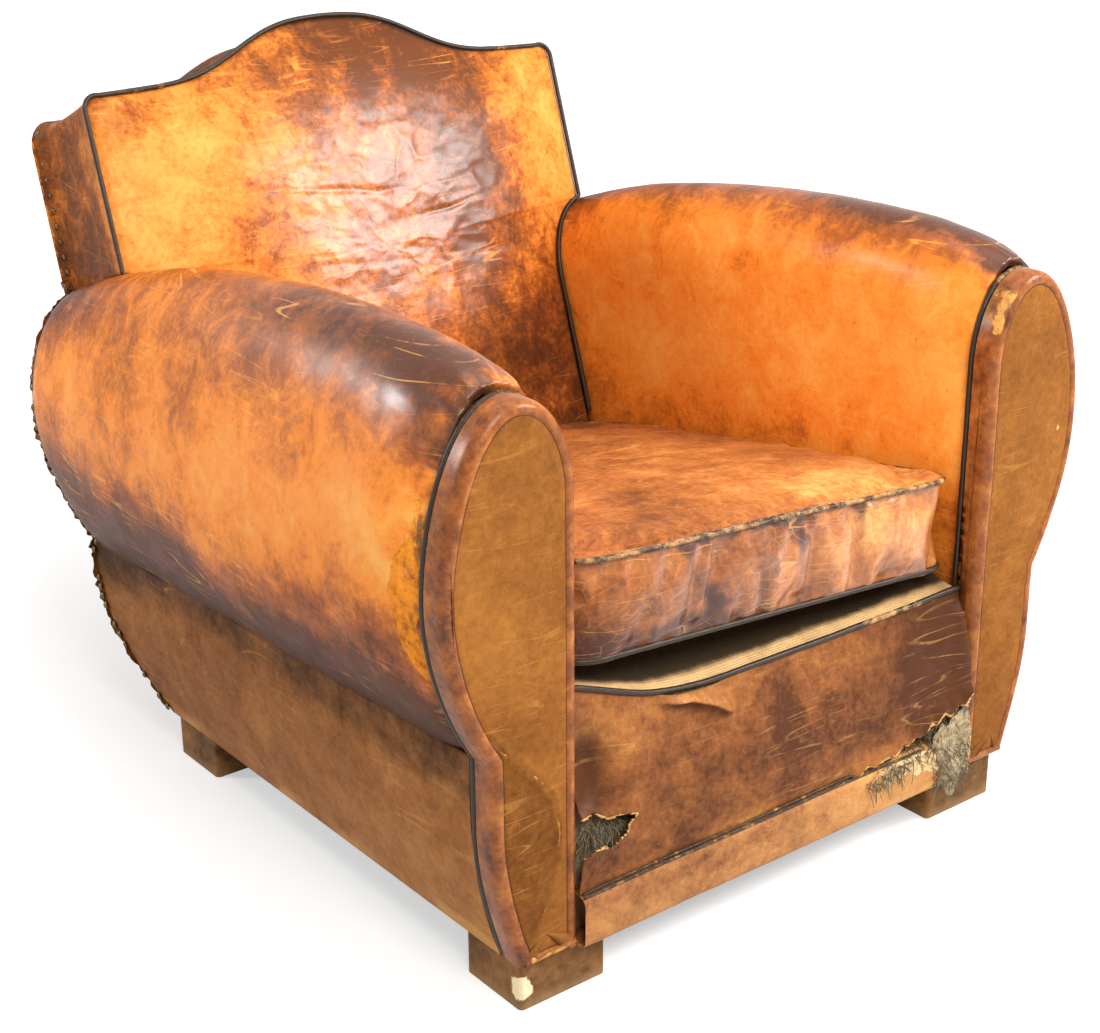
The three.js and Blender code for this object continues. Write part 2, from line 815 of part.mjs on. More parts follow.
// Woven straps under the springs, tacked below the rails
function seatWebbing() {
  const frontY = frontRailY + tackMargin;
  const rearY = rearRailY - tackMargin;
  const sideEnd = railOuterX - tackMargin;
  const top = webbingTop;
  const half = webbingWidth / 2;
  let straps = null;
  const join = (geometry) => {
    const solid = toSolid(geometry);
    straps = straps ? straps.add(solid) : solid;
  };
  for (let column = 0; column < springColumns; column++) {
    const x = (column - (springColumns - 1) / 2) * webbingPitchX;
    join(block(at(x - half, frontY, top - cloth), at(x + half, rearY, top)));
  }
  for (let row = 0; row < springRows; row++) {
    const y = springFrontY + row * webbingPitchY;
    join(block(at(-sideEnd, y - half, top - cloth), at(sideEnd, y + half, top)));
  }
  return fromSolid(straps);
}

// Dust cloth under the seat, notched round the feet
function dustCloth() {
  const x = railOuterX - tackMargin;
  const notchX = footOuterX - footWidth - dustClothNotch;
  const frontY = frontRailY + tackMargin;
  const rearY = rearRailY - tackMargin;
  const frontNotch = frontFootY + footDepth + dustClothNotch;
  const rearNotch = rearFootY - dustClothNotch;
  const corners = [
    [notchX, frontY],
    [notchX, frontNotch],
    [x, frontNotch],
    [x, rearNotch],
    [notchX, rearNotch],
    [notchX, rearY],
  ];
  const right = corners.map(([cx, cy]) => new THREE.Vector2(cx, cy));
  const left = corners.map(([cx, cy]) => new THREE.Vector2(-cx, cy)).reverse();
  const shape = new THREE.Shape([...right, ...left]);
  const top = webbingTop - cloth - gap;
  const geometry = new THREE.ExtrudeGeometry(shape, { depth: cloth, bevelEnabled: false });
  return outward(geometry.translate(0, 0, top - cloth));
}

// Loose cushion

// Rounded rectangle of the cushion, grown outward by a distance
function cushionRing(grow, height) {
  const round = Math.max(cushionCorner + grow, 6);
  const x0 = cushionLeftX - grow + round;
  const x1 = cushionRightX + grow - round;
  const y0 = cushionFrontY - grow + round;
  const y1 = cushionFrontY + cushionDepth + grow - round;
  const corners = [[x1, y0, -90], [x1, y1, 0], [x0, y1, 90], [x0, y0, 180]];
  const points = corners.flatMap(([cx, cy, start]) => [0, 30, 60, 90].map((turn) => {
    const angle = THREE.MathUtils.degToRad(start + turn);
    return [cx + round * Math.cos(angle), cy + round * Math.sin(angle)];
  }));
  const filled = points.flatMap(([x, y], i) => {
    const [nx, ny] = points[(i + 1) % points.length];
    const long = Math.hypot(nx - x, ny - y) > cushionCorner * 1.5;
    const between = long ? [0.33, 0.67] : [];
    return [[x, y], ...between.map((s) => [mix(x, nx, s), mix(y, ny, s)])];
  });
  return filled.map(([x, y]) => at(x, y, cushionUnderside(x, y) + height));
}

// Crowned, boxed cushion with a bulging border
function seatCushion() {
  const middle = Math.min(cushionRightX - cushionLeftX, cushionDepth) / 2;
  const top = cushionThickness;
  const seam = 1.5 * gap;
  return skin([
    cushionRing(-middle * 0.7, 0),
    cushionRing(-pipingRadius, 0),
    cushionRing(-seam, seam),
    cushionRing(-seam, pipingRadius * 2 + seam),
    cushionRing(cushionSideSwell, top * 0.36),
    cushionRing(cushionSideSwell, top * 0.64),
    cushionRing(-seam, top - pipingRadius * 2 - seam),
    cushionRing(-seam, top - seam),
    cushionRing(-pipingRadius * 2, top),
    cushionRing(-middle * 0.18, top + cushionCrown * 0.45),
    cushionRing(-middle * 0.42, top + cushionCrown * 0.85),
    cushionRing(-middle * 0.75, top + cushionCrown),
  ]);
}

// Piping round the cushion, its ends butted at the middle of the rear
function cushionPiping(height) {
  const ring = cushionRing(pipingRadius, height);
  const rear = ring.findIndex((p, i) => {
    const next = ring[(i + 1) % ring.length];
    return p.x > 0 && next.x <= 0 && p.y > cushionDepth / 2;
  });
  const turned = [...ring.slice(rear + 1), ...ring.slice(0, rear + 1)];
  const a = turned[turned.length - 1];
  const b = turned[0];
  const start = a.clone().lerp(b, 0.52);
  const end = a.clone().lerp(b, 0.48);
  return cord([start, ...turned, end]);
}

// Front

// Face of the front panel: it leans back to the seat edge and sags in its middle
function panelY(x, z) {
  const share = (z - bandTopZ) / (lipZ(x) - bandTopZ);
  const sag = frontPanelSag * Math.sin(Math.PI * THREE.MathUtils.clamp(share, 0, 1));
  return frontPanelLean * share * share - sag;
}

// Ragged line between two points, wandering to both sides of the straight way
function raggedLine(from, to, steps) {
  const along = to.clone().sub(from);
  const side = new THREE.Vector2(-along.y, along.x).normalize();
  return shares(steps).map((share) => {
    const wander = Math.sin(share * 9) * 0.6 + Math.sin(share * 31) * 0.5;
    return from.clone().addScaledVector(along, share).addScaledVector(side, wander * tearWander);
  });
}

// The bottom right corner of the panel is ripped away, up to its right edge
function cornerTear() {
  const from = new THREE.Vector2(cornerTearX, bandTopZ);
  const to = new THREE.Vector2(armInnerX + tearWander, cornerTearZ);
  const below = bandTopZ - 2 * tearWander;
  return [...raggedLine(from, to, 12), new THREE.Vector2(to.x, below), new THREE.Vector2(from.x, below)];
}

// A slit is open at the left edge
function edgeTear() {
  const outerX = -armInnerX - tearWander;
  const tip = new THREE.Vector2(edgeTearTipX, mix(edgeTearLowZ, edgeTearHighZ, 0.65));
  const upper = raggedLine(new THREE.Vector2(outerX, edgeTearHighZ), tip, 5);
  const lower = raggedLine(tip, new THREE.Vector2(outerX, edgeTearLowZ), 4);
  return [...upper, ...lower.slice(1)];
}

const panelRows = shares(6);

// Front panel of the seat, torn as it is worn
function frontPanel() {
  const half = armInnerX - gap;
  const point = (offset) => (u, v) => {
    const x = u * half;
    const z = mix(bandTopZ + gap, lipZ(x), v);
    return at(x, panelY(x, z) + offset, z);
  };
  let panel = toSolid(sheet(point(0), point(leather), seatColumns, panelRows));
  for (const tear of [cornerTear(), edgeTear()]) {
    panel = panel.subtract(toSolid(plate(tear, -armInnerX / 2, armInnerX)));
  }
  return fromSolid(panel);
}

// Hair and hessian pad behind the front panel
function frontStuffing() {
  const half = armInnerX - gap;
  const point = (offset) => (u, v) => {
    const x = u * half;
    const z = mix(bandTopZ + gap, lipZ(x), v);
    return at(x, panelY(x, z) + offset, z - stuffingTop * v);
  };
  const nearSide = leather + 2 * gap;
  return sheet(point(nearSide), point(nearSide + frontStuffingDepth - gap), seatColumns, panelRows);
}

// Top edge of the front panel, finished with piping
function frontPanelPiping() {
  const half = armInnerX - pipingRadius / 2;
  const points = seatColumns.map((share) => {
    const x = share * half;
    return at(x, frontPanelLean + leather / 2, lipZ(x) + pipingRadius + 2 * gap);
  });
  return cord(points);
}

// Band round the bottom of the front, over the front rail
function frontBand() {
  const half = armInnerX - gap;
  const rearY = frontRailY - gap;
  const section = (x) => [
    at(x, rearY, bandBottomZ + gap),
    at(x, bandFrontY + bandRound, bandBottomZ + gap),
    at(x, bandFrontY, bandBottomZ + bandRound),
    at(x, bandFrontY, bandTopZ - bandRound),
    at(x, bandFrontY + bandRound, bandTopZ),
    at(x, rearY, bandTopZ),
  ];
  return skin([-half, half].map(section));
}

// Seat frame

const railBottom = footHeight + gap;
const railOuterX = sideBottomX - leather - 2 * gap;

function sideRail() {
  const frontY = armStuffingY;
  const rearY = rearRailY - railThickness - gap;
  return block(
    at(railOuterX - railThickness, frontY, railBottom),
    at(railOuterX, rearY, railBottom + railHeight),
  );
}

function frontRail() {
  const x = facingOutline(armPostInset)[0].x - gap;
  return block(at(-x, frontRailY, railBottom), at(x, frontRailY + railThickness, railBottom + railHeight));
}

function rearRail() {
  return block(
    at(-railOuterX, rearRailY - railThickness, railBottom),
    at(railOuterX, rearRailY, railBottom + railHeight),
  );
}

// Glued block across an inner corner of the seat frame
function cornerBlock(y, towards) {
  const x = railOuterX - railThickness - gap;
  const shape = new THREE.Shape([
    new THREE.Vector2(x, y),
    new THREE.Vector2(x - cornerBlockLeg, y),
    new THREE.Vector2(x, y + towards * cornerBlockLeg),
  ]);
  const geometry = new THREE.ExtrudeGeometry(shape, { depth: railHeight * 0.6, bevelEnabled: false });
  return outward(geometry.translate(0, 0, railBottom + railHeight * 0.2));
}

// Foot block with eased upright corners
function foot(frontY) {
  const x0 = footOuterX - footWidth;
  const c = footCorner;
  const y1 = frontY + footDepth;
  const shape = new THREE.Shape();
  shape.moveTo(x0 + c, frontY);
  shape.absarc(footOuterX - c, frontY + c, c, -Math.PI / 2, 0);
  shape.absarc(footOuterX - c, y1 - c, c, 0, Math.PI / 2);
  shape.absarc(x0 + c, y1 - c, c, Math.PI / 2, Math.PI);
  shape.absarc(x0 + c, frontY + c, c, Math.PI, Math.PI * 1.5);
  const settings = { depth: footHeight, bevelEnabled: false, curveSegments: 2 };
  return outward(new THREE.ExtrudeGeometry(shape, settings));
}

// Materials

const finish = (color, roughness, metalness = 0) => new THREE.MeshStandardMaterial({
  color,
  roughness,
  metalness,
  flatShading: true,
});

const armLeather = () => finish('#a5561f', 0.5);
const backLeather = () => finish('#b3672a', 0.45);
const facingSuede = () => finish('#86592b', 0.75);
const panelLeather = () => finish('#7a4726', 0.6);
const cushionLeather = () => finish('#84492a', 0.5);
const outsideLeather = () => finish('#80512c', 0.65);
const darkPiping = () => finish('#2c2618', 0.6);
const beech = () => finish('#b98f5e', 0.7);
const footWood = () => finish('#6d4c27', 0.6);
const hair = () => finish('#8f7d5c', 0.95);
const jute = () => finish('#a58a5f', 0.9);
const deckCloth = () => finish('#b08a52', 0.85);
const springSteel = () => finish('#8b8780', 0.4, 0.9);
const blackCloth = () => finish('#26221d', 0.95);

// Assembly

const chair = new THREE.Group();

function add(name, geometry, material) {
  const shown = geometry.clone();
  shown.computeVertexNormals();
  const mesh = new THREE.Mesh(shown, material);
  mesh.name = name;
  chair.add(mesh);
}

function addPair(name, geometry, material) {
  add(`${name}_right`, geometry, material());
  add(`${name}_left`, mirrored(geometry), material());
}

addPair('foot_front', foot(frontFootY), footWood);
addPair('foot_rear', foot(rearFootY), footWood);
addPair('rail_side', sideRail(), beech);
add('rail_front', frontRail(), beech());
add('rail_rear', rearRail(), beech());
addPair('corner_block_front', cornerBlock(frontRailY + railThickness + gap, 1), beech);
addPair('corner_block_rear', cornerBlock(rearRailY - railThickness - gap, -1), beech);
addPair('arm_post', armPost(), beech);
addPair('arm_top_rail', armTopRail(), beech);
addPair('arm_under_rail', armUnderRail(), beech);
addPair('arm_rear_board', rearArmBoard(), beech);
addPair('arm_stuffing', armStuffing(), hair);
addPair('arm_cover', armCover(), armLeather);
addPair('arm_facing', armFacing(), facingSuede);
addPair('arm_piping', armPiping(), darkPiping);
addPair('side_panel', sidePanel(), outsideLeather);
addPair('back_post', backPost(), beech);
add('back_crest_rail', crestRail(), beech());
add('back_lower_rail', lowerBackRail(), beech());
add('back_stuffing', backStuffing(), hair());
add('back_cover', backCover(), backLeather());
add('back_piping', backPiping(), darkPiping());
add('outside_back', outsideBack(), outsideLeather());
add('seat_webbing', seatWebbing(), jute());
for (let row = 0; row < springRows; row++) {
  for (let column = 0; column < springColumns; column++) {
    add(`seat_spring_${row * springColumns + column + 1}`, seatSpring(column, row), springSteel());
  }
}
add('spring_cloth', seatLayer(stuffingBottom + gap, clothBottom, 1), jute());
add('seat_stuffing', seatLayer(stuffingTop, stuffingBottom, 1), hair());
add('seat_deck', seatLayer(0, leather, 0), deckCloth());
add('front_panel', frontPanel(), panelLeather());
add('front_panel_piping', frontPanelPiping(), darkPiping());
add('front_stuffing', frontStuffing(), hair());
add('front_band', frontBand(), panelLeather());
add('seat_cushion', seatCushion(), cushionLeather());
add('cushion_piping_top', cushionPiping(cushionThickness - pipingRadius), darkPiping());
add('cushion_piping_bottom', cushionPiping(pipingRadius), darkPiping());
add('dust_cloth', dustCloth(), blackCloth());

// Stand the chair on the floor with the middle of its footprint at the origin
const extent = new THREE.Box3().setFromObject(chair, true);
chair.position.set(-(extent.min.x + extent.max.x) / 2, -(extent.min.y + extent.max.y) / 2, -extent.min.z);
chair.updateMatrixWorld(true);

export default chair;
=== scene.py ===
import math

import bpy
import numpy as np
from mathutils import Matrix, Vector


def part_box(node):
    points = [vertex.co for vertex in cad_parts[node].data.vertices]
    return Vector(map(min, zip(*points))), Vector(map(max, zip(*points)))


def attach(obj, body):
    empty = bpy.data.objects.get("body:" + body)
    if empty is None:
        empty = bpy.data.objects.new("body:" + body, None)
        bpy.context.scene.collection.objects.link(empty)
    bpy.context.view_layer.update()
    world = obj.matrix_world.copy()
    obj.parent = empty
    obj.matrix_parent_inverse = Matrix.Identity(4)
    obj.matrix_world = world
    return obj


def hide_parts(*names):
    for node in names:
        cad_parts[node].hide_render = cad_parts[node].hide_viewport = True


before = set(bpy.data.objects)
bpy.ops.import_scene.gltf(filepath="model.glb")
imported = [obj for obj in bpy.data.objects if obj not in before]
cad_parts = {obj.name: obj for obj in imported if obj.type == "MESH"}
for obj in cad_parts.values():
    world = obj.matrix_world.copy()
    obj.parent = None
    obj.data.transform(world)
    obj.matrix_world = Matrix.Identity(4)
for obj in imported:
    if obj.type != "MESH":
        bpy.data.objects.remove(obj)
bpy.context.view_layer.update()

# Lengths below are millimetres in the model's own frame: x across, y from front to rear, z up.
# Left is the low side of x. The front plane of the arm facings is y = 0.
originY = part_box("arm_facing_left")[0][1]
leanSlope = 0.339
leanAngle = math.atan(leanSlope)


def toMetres(points):
    return np.asarray(points, float) * 0.001 + np.array([0.0, originY, 0.0])


# From a to b by a share
def mix(a, b, share):
    return a + (b - a) * share


# 0 below low, 1 above high, an S curve between
def smooth(value, low, high):
    share = np.clip((value - low) / (high - low), 0, 1)
    return share * share * (3 - 2 * share)


# Bell curve, 1 at the middle
def bump(value, middle, width):
    return np.exp(-(((value - middle) / width) ** 2))


# Vectors of length one
def unit(vectors):
    return vectors / np.linalg.norm(vectors, axis=-1, keepdims=True)


# Points for noise along one line, and on one flat
def onLine(a):
    return np.stack([a, a * 0, a * 0], axis=-1)


def onFlat(a, b):
    return np.stack([a, b, a * 0], axis=-1)


# Value noise on a lattice of the given size, -1 to 1, the same on every run
def lattice(points, size, seed):
    place = points / size + seed * 17.137
    cell = np.floor(place).astype(np.int64)
    part = place - cell
    part = part * part * (3 - 2 * part)
    total = np.zeros(points.shape[:-1])
    for corner in range(8):
        step = np.array([corner & 1, corner >> 1 & 1, corner >> 2 & 1])
        key = cell + step
        mixed = (key[..., 0] * 374761393 + key[..., 1] * 668265263 + key[..., 2] * 974634777
                 + seed * 9176) & 0xFFFFFFFF
        mixed = ((mixed ^ (mixed >> 13)) * 1274126177) & 0xFFFFFFFF
        value = ((mixed ^ (mixed >> 16)) & 0xFFFF) / 32767.5 - 1
        total += value * np.prod(np.where(step == 1, part, 1 - part), axis=-1)
    return total


# Several octaves of it
def layered(points, size, seed, octaves=3):
    total = np.zeros(points.shape[:-1])
    for octave in range(octaves):
        total += lattice(points, size / 2**octave, seed + octave) / 2**octave
    return total / (2 - 2 ** (1 - octaves))


# Sharp valleys between soft plateaus, 0 to 1, for crumpled leather
def crumpled(points, size, seed):
    warp = np.stack([lattice(points, size, seed + k) for k in (11, 12, 13)], axis=-1)
    return 1 - np.abs(layered(points + warp * size * 0.35, size, seed, 3)) ** 0.7


# Meshes


# Quads of a grid of point numbers
def gridQuads(index):
    return np.stack([index[:-1, :-1], index[:-1, 1:], index[1:, 1:], index[1:, :-1]], axis=-1)


# Normals of quads from their two diagonals
def quadNormals(vertices, quads):
    one, two = (vertices[quads[:, k + 2]] - vertices[quads[:, k]] for k in (0, 1))
    return np.cross(one, two)


# Gives a sheet its thickness, in metres
def thicken(piece, thickness):
    thick = piece.modifiers.new("thick", "SOLIDIFY")
    thick.thickness = thickness
    thick.offset = -1
    return piece


# Object of these points, in metres, with its fields
def finishMesh(name, vertices, faces, attributes):
    mesh = bpy.data.meshes.new(name)
    mesh.from_pydata(vertices.tolist(), [], faces)
    mesh.update()
    mesh.shade_smooth()
    for key, value in attributes.items():
        layer = mesh.attributes.new(key, "FLOAT", "POINT")
        layer.data.foreach_set("value", np.asarray(value, np.float32).ravel())
    made = bpy.data.objects.new(name, mesh)
    bpy.context.scene.collection.objects.link(made)
    return made


# Joins points that coincide: the first of each kind, every point's new number, and the faces with
# their empty sides dropped
def joined(vertices, quads):
    keys = np.round(vertices * 50 + 0.17).astype(np.int64)
    _, first, number = np.unique(keys, axis=0, return_index=True, return_inverse=True)
    number = number.ravel()
    quads = number[quads]
    same = quads == np.roll(quads, -1, axis=1)
    whole = quads[~same.any(axis=1)]
    thin = same.sum(axis=1) == 1
    triangles = quads[thin][~same[thin]].reshape(-1, 3)
    return first, number, whole.tolist() + triangles.tolist()


# Surface through a grid of points. around joins the last column to the first, poles closes the
# first and last rows with a fan, keep drops quads, weld joins points that coincide, and faces turn
# away from the inside point
def surface(name, points, inside=None, around=False, poles=(False, False), keep=None, attributes=None,
            weld=False):
    rows, columns = points.shape[:2]
    index = np.arange(rows * columns).reshape(rows, columns)
    if around:
        index = np.hstack([index, index[:, :1]])
    quads = gridQuads(index)
    if keep is not None:
        quads = quads[keep]
    quads = quads.reshape(-1, 4)
    vertices = points.reshape(-1, 3)
    middle = vertices[quads].mean(axis=1)
    normal = quadNormals(vertices, quads)
    reference = vertices.mean(axis=0) if inside is None else np.asarray(inside, float)
    turned = np.sum(normal * (middle - reference)) < 0
    if turned:
        quads = quads[:, ::-1]
    faces = quads.tolist()
    values = {key: np.asarray(value, float).ravel() for key, value in (attributes or {}).items()}
    if weld:
        first, _, faces = joined(vertices, quads)
        vertices, values = vertices[first], {key: value[first] for key, value in values.items()}
    for end, closed in enumerate(poles):
        if not closed:
            continue
        ring = index[0 if end == 0 else -1]
        loop = ring if around else np.append(ring, ring[:1])
        pole = len(vertices)
        vertices = np.vstack([vertices, vertices[ring[:-1]].mean(axis=0)])
        values = {key: np.append(value, value[ring[:-1]].mean()) for key, value in values.items()}
        fan = np.stack([loop[:-1], loop[1:], np.full(len(loop) - 1, pole)], axis=-1)
        if (end == 0) != turned:
            fan = fan[:, ::-1]
        faces += fan.tolist()
    return finishMesh(name, toMetres(vertices), faces, values)


# Round cord along a path, its section facing a fixed direction. swell varies the radius along it
def cord(name, path, radius, facing, closed=False, sides=12, swell=None, attributes=None):
    path = np.asarray(path, float)
    if closed:
        along = np.roll(path, -1, axis=0) - np.roll(path, 1, axis=0)
    else:
        along = np.gradient(path, axis=0)
    along = unit(along)
    side = unit(np.cross(along, facing))
    over = np.cross(side, along)
    angle = np.linspace(0, 2 * np.pi, sides, endpoint=False)
    size = radius if swell is None else radius * swell[:, None, None]
    ring = path[:, None] + size * (
        np.cos(angle)[None, :, None] * side[:, None] + np.sin(angle)[None, :, None] * over[:, None]
    )
    values = {key: np.repeat(value, sides) for key, value in (attributes or {}).items()}
    rows, columns = ring.shape[:2]
    index = np.arange(rows * columns).reshape(rows, columns)
    index = np.hstack([index, index[:, :1]])
    if closed:
        index = np.vstack([index, index[:1]])
    quads = gridQuads(index).reshape(-1, 4)
    vertices = ring.reshape(-1, 3)
    normal = quadNormals(vertices, quads)
    centre = ring.mean(axis=1) if closed else ring[:-1].mean(axis=1)
    outward = vertices[quads].mean(axis=1) - np.repeat(centre, columns, axis=0)
    if np.sum(normal * outward) < 0:
        quads = quads[:, ::-1]
    faces = quads.tolist()
    if not closed:
        faces += [index[0, :-1].tolist(), index[-1, :-1].tolist()[::-1]]
    return finishMesh(name, toMetres(vertices), faces, values)


# Even steps along a path
def resample(path, count, closed=False):
    path = np.asarray(path, float)
    if closed:
        path = np.vstack([path, path[:1]])
    length = np.concatenate([[0], np.cumsum(np.linalg.norm(np.diff(path, axis=0), axis=1))])
    marks = np.linspace(0, length[-1], count, endpoint=not closed)
    return np.stack([np.interp(marks, length, path[:, k]) for k in range(path.shape[1])], axis=-1)


# Distance of points to an open line
def lineDistance(points, line):
    best = np.full(points.shape[:-1], 1e9)
    for k in range(len(line) - 1):
        start, end = np.asarray(line[k], float), np.asarray(line[k + 1], float)
        span = end - start
        share = np.clip(np.sum((points - start) * span, axis=-1) / np.sum(span * span), 0, 1)
        distance = np.linalg.norm(points - start - share[..., None] * span, axis=-1)
        best = np.minimum(best, distance)
    return best


# True for points inside a flat outline
def within(points, outline):
    inside = np.zeros(points.shape[:-1], bool)
    for k in range(len(outline)):
        ax, ay = outline[k]
        bx, by = outline[(k + 1) % len(outline)]
        crosses = (ay > points[..., 1]) != (by > points[..., 1])
        rise = by - ay if by != ay else 1e-9
        inside ^= crosses & (points[..., 0] < (bx - ax) * (points[..., 1] - ay) / rise + ax)
    return inside


# Cloth run on a closed grid: pressure fills the cover while the pinned rows hold its seams. Gives
# how far each point moved, at most the cap of its row
clothSet = {"frames": 20, "quality": 5, "pressure": 4.0, "grow": 0.05, "mass": 0.3, "stiff": 12, "bend": 0.4}


def clothRun(points, pinned, inside, caps, look):
    rows, columns = points.shape[:2]
    index = np.arange(rows * columns).reshape(rows, columns)
    index = np.hstack([index, index[:, :1]])
    quads = gridQuads(index).reshape(-1, 4)
    flat = points.reshape(-1, 3)
    normal = quadNormals(flat, quads)
    if np.sum(normal * (flat[quads].mean(axis=1) - inside)) < 0:
        quads = quads[:, ::-1]
    first, number, faces = joined(flat, quads)
    start = toMetres(flat[first])
    cover = bpy.data.objects.new("clothRun", bpy.data.meshes.new("clothRun"))
    cover.data.from_pydata(start.tolist(), [], faces)
    bpy.context.scene.collection.objects.link(cover)
    group = cover.vertex_groups.new(name="pins")
    group.add(np.unique(number.reshape(rows, columns)[pinned]).tolist(), 1.0, "REPLACE")
    cloth = cover.modifiers.new("cloth", "CLOTH")
    cloth.settings.quality = look["quality"]
    cloth.settings.mass = look["mass"]
    cloth.settings.tension_stiffness = look["stiff"]
    cloth.settings.compression_stiffness = look["stiff"]
    cloth.settings.bending_stiffness = look["bend"]
    cloth.settings.use_pressure = True
    cloth.settings.uniform_pressure_force = look["pressure"]
    cloth.settings.shrink_min = -look["grow"]
    cloth.settings.vertex_group_mass = "pins"
    cloth.settings.effector_weights.gravity = 0
    cloth.collision_settings.use_collision = False
    for step in range(1, look["frames"] + 1):
        bpy.context.scene.frame_set(step)
    seen = cover.evaluated_get(bpy.context.evaluated_depsgraph_get())
    moved = np.empty(len(first) * 3)
    seen.data.vertices.foreach_get("co", moved)
    bpy.context.scene.frame_set(1)
    sheet = cover.data
    bpy.data.objects.remove(cover)
    bpy.data.meshes.remove(sheet)
    shift = (moved.reshape(-1, 3) - start)[number].reshape(points.shape) * 1000
    length = np.linalg.norm(shift, axis=-1, keepdims=True)
    return shift * np.minimum(1, caps[:, None, None] / np.maximum(length, 1e-6))


# The movement of a coarse grid carried to a fine one with twice the columns
def refined(shift, coarseRows, fineRows):
    place = np.interp(fineRows, coarseRows, np.arange(len(coarseRows)))
    low = np.clip(np.floor(place).astype(int), 0, len(coarseRows) - 2)
    part = (place - low)[:, None, None]
    rows = shift[low] * (1 - part) + shift[low + 1] * part
    between = (9 * (rows + np.roll(rows, -1, axis=1)) - np.roll(rows, 1, axis=1)
               - np.roll(rows, -2, axis=1)) / 16
    fine = np.stack([rows, between], axis=2).reshape(len(fineRows), -1, 3)
    for _ in range(3):
        fine[1:-1] = (fine[:-2] + 2 * fine[1:-1] + fine[2:]) / 4
    return fine


# Materials


# A material's nodes, each method one kind of node or a sum of a few
class Graph:
    def __init__(self, name):
        self.material = bpy.data.materials.new(name)
        self.material.use_nodes = True
        self.tree = self.material.node_tree
        self.shader = self.tree.nodes["Principled BSDF"]
        self.place = self.add("ShaderNodeTexCoord").outputs["Object"]

    def put(self, socket, value):
        if isinstance(value, bpy.types.NodeSocket):
            self.tree.links.new(value, socket)
        elif isinstance(value, tuple) and len(value) == 3 and len(socket.default_value) == 4:
            socket.default_value = (*value, 1.0)
        else:
            socket.default_value = value

    def add(self, kind, inputs=None, **settings):
        made = self.tree.nodes.new(kind)
        for key, value in settings.items():
            setattr(made, key, value)
        for key, value in (inputs or {}).items():
            self.put(made.inputs[key], value)
        return made

    def math(self, operation, a, b=0.0, clamp=False):
        return self.add("ShaderNodeMath", {0: a, 1: b}, operation=operation, use_clamp=clamp).outputs[0]

    def sum(self, *values):
        total = values[0]
        for value in values[1:]:
            total = self.math("ADD", total, value)
        return total

    def times(self, a, b):
        return self.math("MULTIPLY", a, b)

    def band(self, value, low, high):
        made = self.add("ShaderNodeMapRange", {0: value, 1: low, 2: high}, interpolation_type="SMOOTHSTEP")
        return made.outputs[0]

    def blend(self, factor, a, b, kind="MIX"):
        made = self.add("ShaderNodeMix", data_type="RGBA", blend_type=kind)
        self.put(made.inputs[0], factor)
        self.put(made.inputs[6], a)
        self.put(made.inputs[7], b)
        return made.outputs[2]

    def noise(self, scale, detail=4.0, roughness=0.55, place=None, distortion=0.0):
        return self.add("ShaderNodeTexNoise",
                        {"Vector": place or self.place, "Scale": scale, "Detail": detail,
                                               "Roughness": roughness,
                                               "Distortion": distortion}).outputs["Fac"]

    # Noise about zero, of the given strength
    def mottle(self, scale, strength, detail=4.0, roughness=0.6, place=None):
        return self.times(self.math("SUBTRACT", self.noise(scale, detail, roughness, place), 0.5), strength)

    def stretched(self, scale, turn=(0.0, 0.0, 0.0)):
        made = self.add("ShaderNodeMapping", {"Vector": self.place, "Scale": scale, "Rotation": turn})
        return made.outputs[0]

    # Thin wandering lines where a stretched noise passes its middle value
    def lines(self, place, scale, width, detail=2.0):
        value = self.noise(scale, detail, 0.5, place, 0.15)
        away = self.math("ABSOLUTE", self.math("SUBTRACT", value, 0.5))
        return self.math("SUBTRACT", 1.0, self.band(away, width * 0.3, width))

    # Edges of warped cells, 1 on the crack and 0 inside
    def cracks(self, scale, width, place=None, warp=0.35):
        shift = self.add("ShaderNodeTexNoise",
                         {"Vector": place or self.place, "Scale": scale * 0.8, "Detail": 3.0})
        pushed = self.add("ShaderNodeVectorMath", {0: shift.outputs["Color"], 1: (warp / scale,) * 3},
                          operation="MULTIPLY")
        moved = self.add("ShaderNodeVectorMath", {0: place or self.place, 1: pushed.outputs[0]},
                         operation="ADD")
        cells = self.add("ShaderNodeTexVoronoi", {"Vector": moved.outputs[0], "Scale": scale},
                         feature="DISTANCE_TO_EDGE")
        return self.math("SUBTRACT", 1.0, self.band(cells.outputs["Distance"], 0.0, width))

    def field(self, name):
        return self.add("ShaderNodeAttribute", attribute_name=name).outputs["Fac"]

    def ramp(self, value, stops):
        made = self.add("ShaderNodeValToRGB", {0: value})
        ramp = made.color_ramp
        while len(ramp.elements) < len(stops):
            ramp.elements.new(0.5)
        for element, (position, color) in zip(ramp.elements, stops):
            element.position = position
            element.color = (*color, 1.0)
        return made.outputs[0]

    def relief(self, parts, distance=0.001, strength=1.0):
        height = self.sum(*[self.times(value, amount) for value, amount in parts])
        made = self.add("ShaderNodeBump", {"Height": height, "Distance": distance, "Strength": strength})
        self.put(self.shader.inputs["Normal"], made.outputs[0])

    def surface(self, **values):
        for key, value in values.items():
            self.put(self.shader.inputs[key], value)
        return self.material


